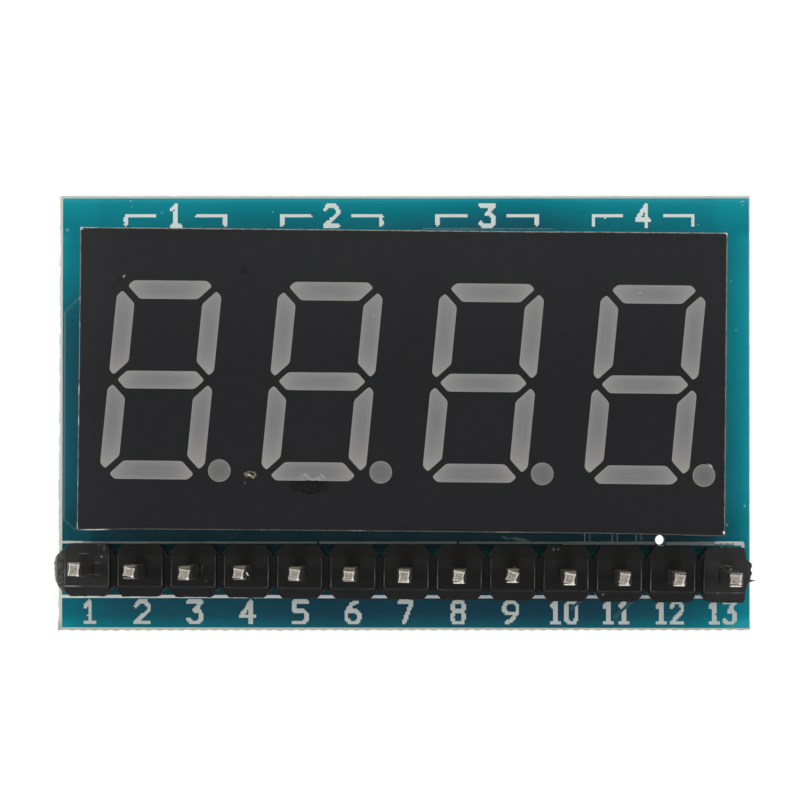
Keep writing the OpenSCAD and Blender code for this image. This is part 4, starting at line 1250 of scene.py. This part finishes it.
def insulatorMesh():
    bm = bmesh.new()
    bm.from_mesh(nodes["header_insulator"].data)
    bmesh.ops.remove_doubles(bm, verts=bm.verts, dist=0.001 * mm)
    bmesh.ops.dissolve_limit(bm, angle_limit=math.radians(1), verts=bm.verts, edges=bm.edges)
    sharp = [e for e in bm.edges if e.calc_face_angle(0) > math.radians(25) and e.calc_length() > 0.1 * mm]
    bmesh.ops.bevel(bm, geom=sharp, offset=block["ease"] * mm, segments=2, profile=0.5, affect="EDGES",
                    clamp_overlap=True)
    along, across = Vector((*swung(1, 0, rowTurn), 0)), Vector((*swung(0, 1, rowTurn), 0))

    def cutAt(offset, way):
        bmesh.ops.bisect_plane(bm, geom=bm.verts[:] + bm.edges[:] + bm.faces[:],
                               plane_co=rowStart + offset, plane_no=way)

    first, last = -pitch / 2, (len(pinNames) - 0.5) * pitch
    for i in range(int((last - first) / block["cut"])):
        cutAt(along * (first + (i + 0.5) * block["cut"]) * mm, along)
    for i in range(-block["cutsAcross"], block["cutsAcross"] + 1):
        cutAt(across * i * block["cut"] / 2 * mm, across)
    stress = bm.verts.layers.float.new("stress")
    growth, start, most = block["level"]
    near, full = block["rightFrom"], block["rightFull"]
    for v in bm.verts:
        u, w = alongRow(v.co)
        high = (v.co.z - boardTop) / (insulatorTop - boardTop)
        z = v.co.z / mm
        if abs(w) > 1.0:
            rough = roughly(u * 2.6, 3.0, w) - 0.3 + 0.6 * roughly(u * 7, 1.0, w)
            wave = block["wave"] * (1.0 if w < 0 else 0.4) * rough
            v.co += across * math.copysign(wave, w) * high * mm
        past = u - lastPin
        grow = min(most, growth * max(0.0, round(u / pitch) + 1 - start))
        v.co += across * grow * max(0.0, min(1.0, (w - 0.7) / 0.45)) * mm
        if past > -1.0 and w > 0.95:
            v.co += across * 0.07 * (roughly(u * 9, z * 4, 12.0) - 0.5) * mm
        if past > near:
            reach = between(block["rightEnd"], w) + 0.07 * (roughly(w * 9, z * 3, 4.0) - 0.5)
            tight = near + (past - near) * (reach - near) / (full - near)
            v.co += along * (min(tight, past) - past) * mm
            v[stress] = 0.45 if past > 1.15 else 0.0
        v.co += Vector((0, 0, block["grit"] * roughly(v.co.x / mm * 3, v.co.y / mm * 3, 8.0) * mm * high))
    tornLump(bm, stress)
    return bm


# The lump of web on the first block, with the whitened skin of snapped plastic, and the last one's spike
def tornLump(bm, stress):
    top = insulatorTop - block["lumpDrop"] * mm
    (near, far), steps, root = block["lumpSides"], block["lumpSteps"], block["lumpRoot"]
    levels = [(share, boardTop + up * mm, value) for share, up, value in block["lumpFoot"]]
    levels += [(share, top + up * mm, value) for share, up, value in block["lumpHead"]]
    rows = []
    for share, z, _ in levels:
        row = []
        for i in range(steps + 1):
            w = near + i * (far - near) / steps
            out = between(block["leftLump"], w) + 0.05 * roughly(w * 6, z / mm * 2.5, 6.0)
            deep = (out + root) * share - root
            lift = 0.05 * roughly(w * 5, share * 9, 7.0) * mm if z > boardTop + mm else 0.0
            row.append(offRow(-pitch / 2 - deep, w, z + lift))
        rows.append(row + [offRow(-pitch / 2 + root, w, z) for w in (far, near)])
    made = skin(bm, rows)
    bm.faces.new(made[0])
    bm.faces.new(made[-1])
    for row, (_, _, value) in zip(made, levels):
        tint(stress, value, row[:-2])
    u, w, drop, long = block["burr"]
    z = insulatorTop - drop * mm
    base = [bm.verts.new(offRow(lastPin + u - 0.1, w + dw, z + dz * mm)) for dw, dz in block["burrBase"]]
    tip = bm.verts.new(offRow(lastPin + u + long, w + 0.03, z + 0.05 * mm))
    for a, b in zip(base, base[1:] + base[:1]):
        bm.faces.new((a, b, tip))
    bm.faces.new(list(reversed(base)))
    tint(stress, 0.6, base, [tip])


piece("ridgedInsulator", insulatorMesh(), "insulator", ("header_insulator",))
print("insulator made")

# Eased edges on the small moulded parts at the back
easeWidth = 0.03
for i in range(1, 5):
    part = nodes["transistor_%d" % i]
    weld = part.modifiers.new("weld", "WELD")
    weld.merge_threshold = 0.001 * mm
    ease = part.modifiers.new("ease", "BEVEL")
    ease.width = easeWidth * mm
    ease.segments = 2
    ease.limit_method = "ANGLE"
    ease.angle_limit = math.radians(25)
print("edges eased")


# Stage, light and camera
stage = {
    "floor": 1.2, "plain": 0.82, "glow": 1.06, "glowShare": 0.9,
    "horizon": 1.0, "zenith": 0.06, "fade": (0.08, 0.6), "lampAway": 0.45,
    "lamps": {                # compass turn and height in degrees, size, and share of the light
        "frontLamp": (-90, 42, 0.22, 0.27), "leftLamp": (180, 42, 0.2, 0.17),
        "rightLamp": (0, 42, 0.2, 0.17), "backLamp": (90, 48, 0.2, 0.18),
    },
}


def floorPaint():
    material = bpy.data.materials.new("paleFloor")
    material.use_nodes = True
    graph = Graph(material.node_tree)
    graph.tree.nodes.clear()
    ray = graph.add("ShaderNodeLightPath", {}, {}, None)
    seen, shiny, through = (Sock(graph, ray.outputs["Is %s Ray" % word])
                            for word in ("Camera", "Glossy", "Transmission"))
    plain = graph.add("ShaderNodeBsdfDiffuse", {}, {"Color": (*[stage["plain"]] * 3, 1)})
    glow = graph.add("ShaderNodeEmission", {}, {"Color": (1, 1, 1, 1), "Strength": stage["glow"]})
    share = seen.most(shiny).most(through) * stage["glowShare"]
    both = graph.add("ShaderNodeMixShader", {}, {0: share, 1: plain, 2: glow})
    graph.add("ShaderNodeOutputMaterial", {}, {"Surface": both}, None)
    return material


def softWorld():
    world = bpy.data.worlds.new("softWorld")
    world.use_nodes = True
    graph = Graph(world.node_tree)
    graph.tree.nodes.clear()
    way = graph.add("ShaderNodeTexCoord", {}, {}, "Generated")
    height = graph.add("ShaderNodeSeparateXYZ", {}, {0: way}, "Z")
    low = graph.add("ShaderNodeBackground", {}, {"Color": (1, 1, 1, 1), "Strength": stage["horizon"]})
    high = graph.add("ShaderNodeBackground", {}, {"Color": (1, 1, 1, 1), "Strength": stage["zenith"]})
    both = graph.add("ShaderNodeMixShader", {}, {0: graph.rise(height, *stage["fade"]), 1: low, 2: high})
    graph.add("ShaderNodeOutputWorld", {}, {"Surface": both}, None)
    return world


bm = bmesh.new()
bmesh.ops.create_grid(bm, x_segments=4, y_segments=4, size=stage["floor"])
floorMesh = bpy.data.meshes.new("floor")
bm.to_mesh(floorMesh)
bm.free()
floor = bpy.data.objects.new("floor", floorMesh)
scene.collection.objects.link(floor)
floorMesh.materials.append(floorPaint())
scene.world = softWorld()

for name, (turn, height, size, share) in stage["lamps"].items():
    turn, height, away = math.radians(turn), math.radians(height), stage["lampAway"]
    light = bpy.data.lights.new(name, "AREA")
    light.shape = "SQUARE"
    light.size = size
    light.energy = share * math.pi ** 2 * away ** 2 / math.sin(height)
    lamp = bpy.data.objects.new(name, light)
    scene.collection.objects.link(lamp)
    flat = math.cos(height)
    spot = Vector((math.cos(turn) * flat, math.sin(turn) * flat, math.sin(height))) * away
    lamp.location = spot
    lamp.rotation_euler = (-spot).to_track_quat("-Z", "Y").to_euler()

view = {"height": 0.210, "right": 0.002392, "down": 0.004483, "tilt": (1.391, 0.724, 0.04), "lens": 195.75}
camera = bpy.data.objects.new("camera", bpy.data.cameras.new("camera"))
scene.collection.objects.link(camera)
camera.location = (boardMid.x + view["right"], boardMid.y - view["down"], boardTop + view["height"])
camera.rotation_euler = [math.radians(a) for a in view["tilt"]]
camera.data.lens = view["lens"]
camera.data.sensor_width = 36
camera.data.clip_start = 0.01
scene.camera = camera
scene.view_settings.view_transform = "Standard"
print("stage made")
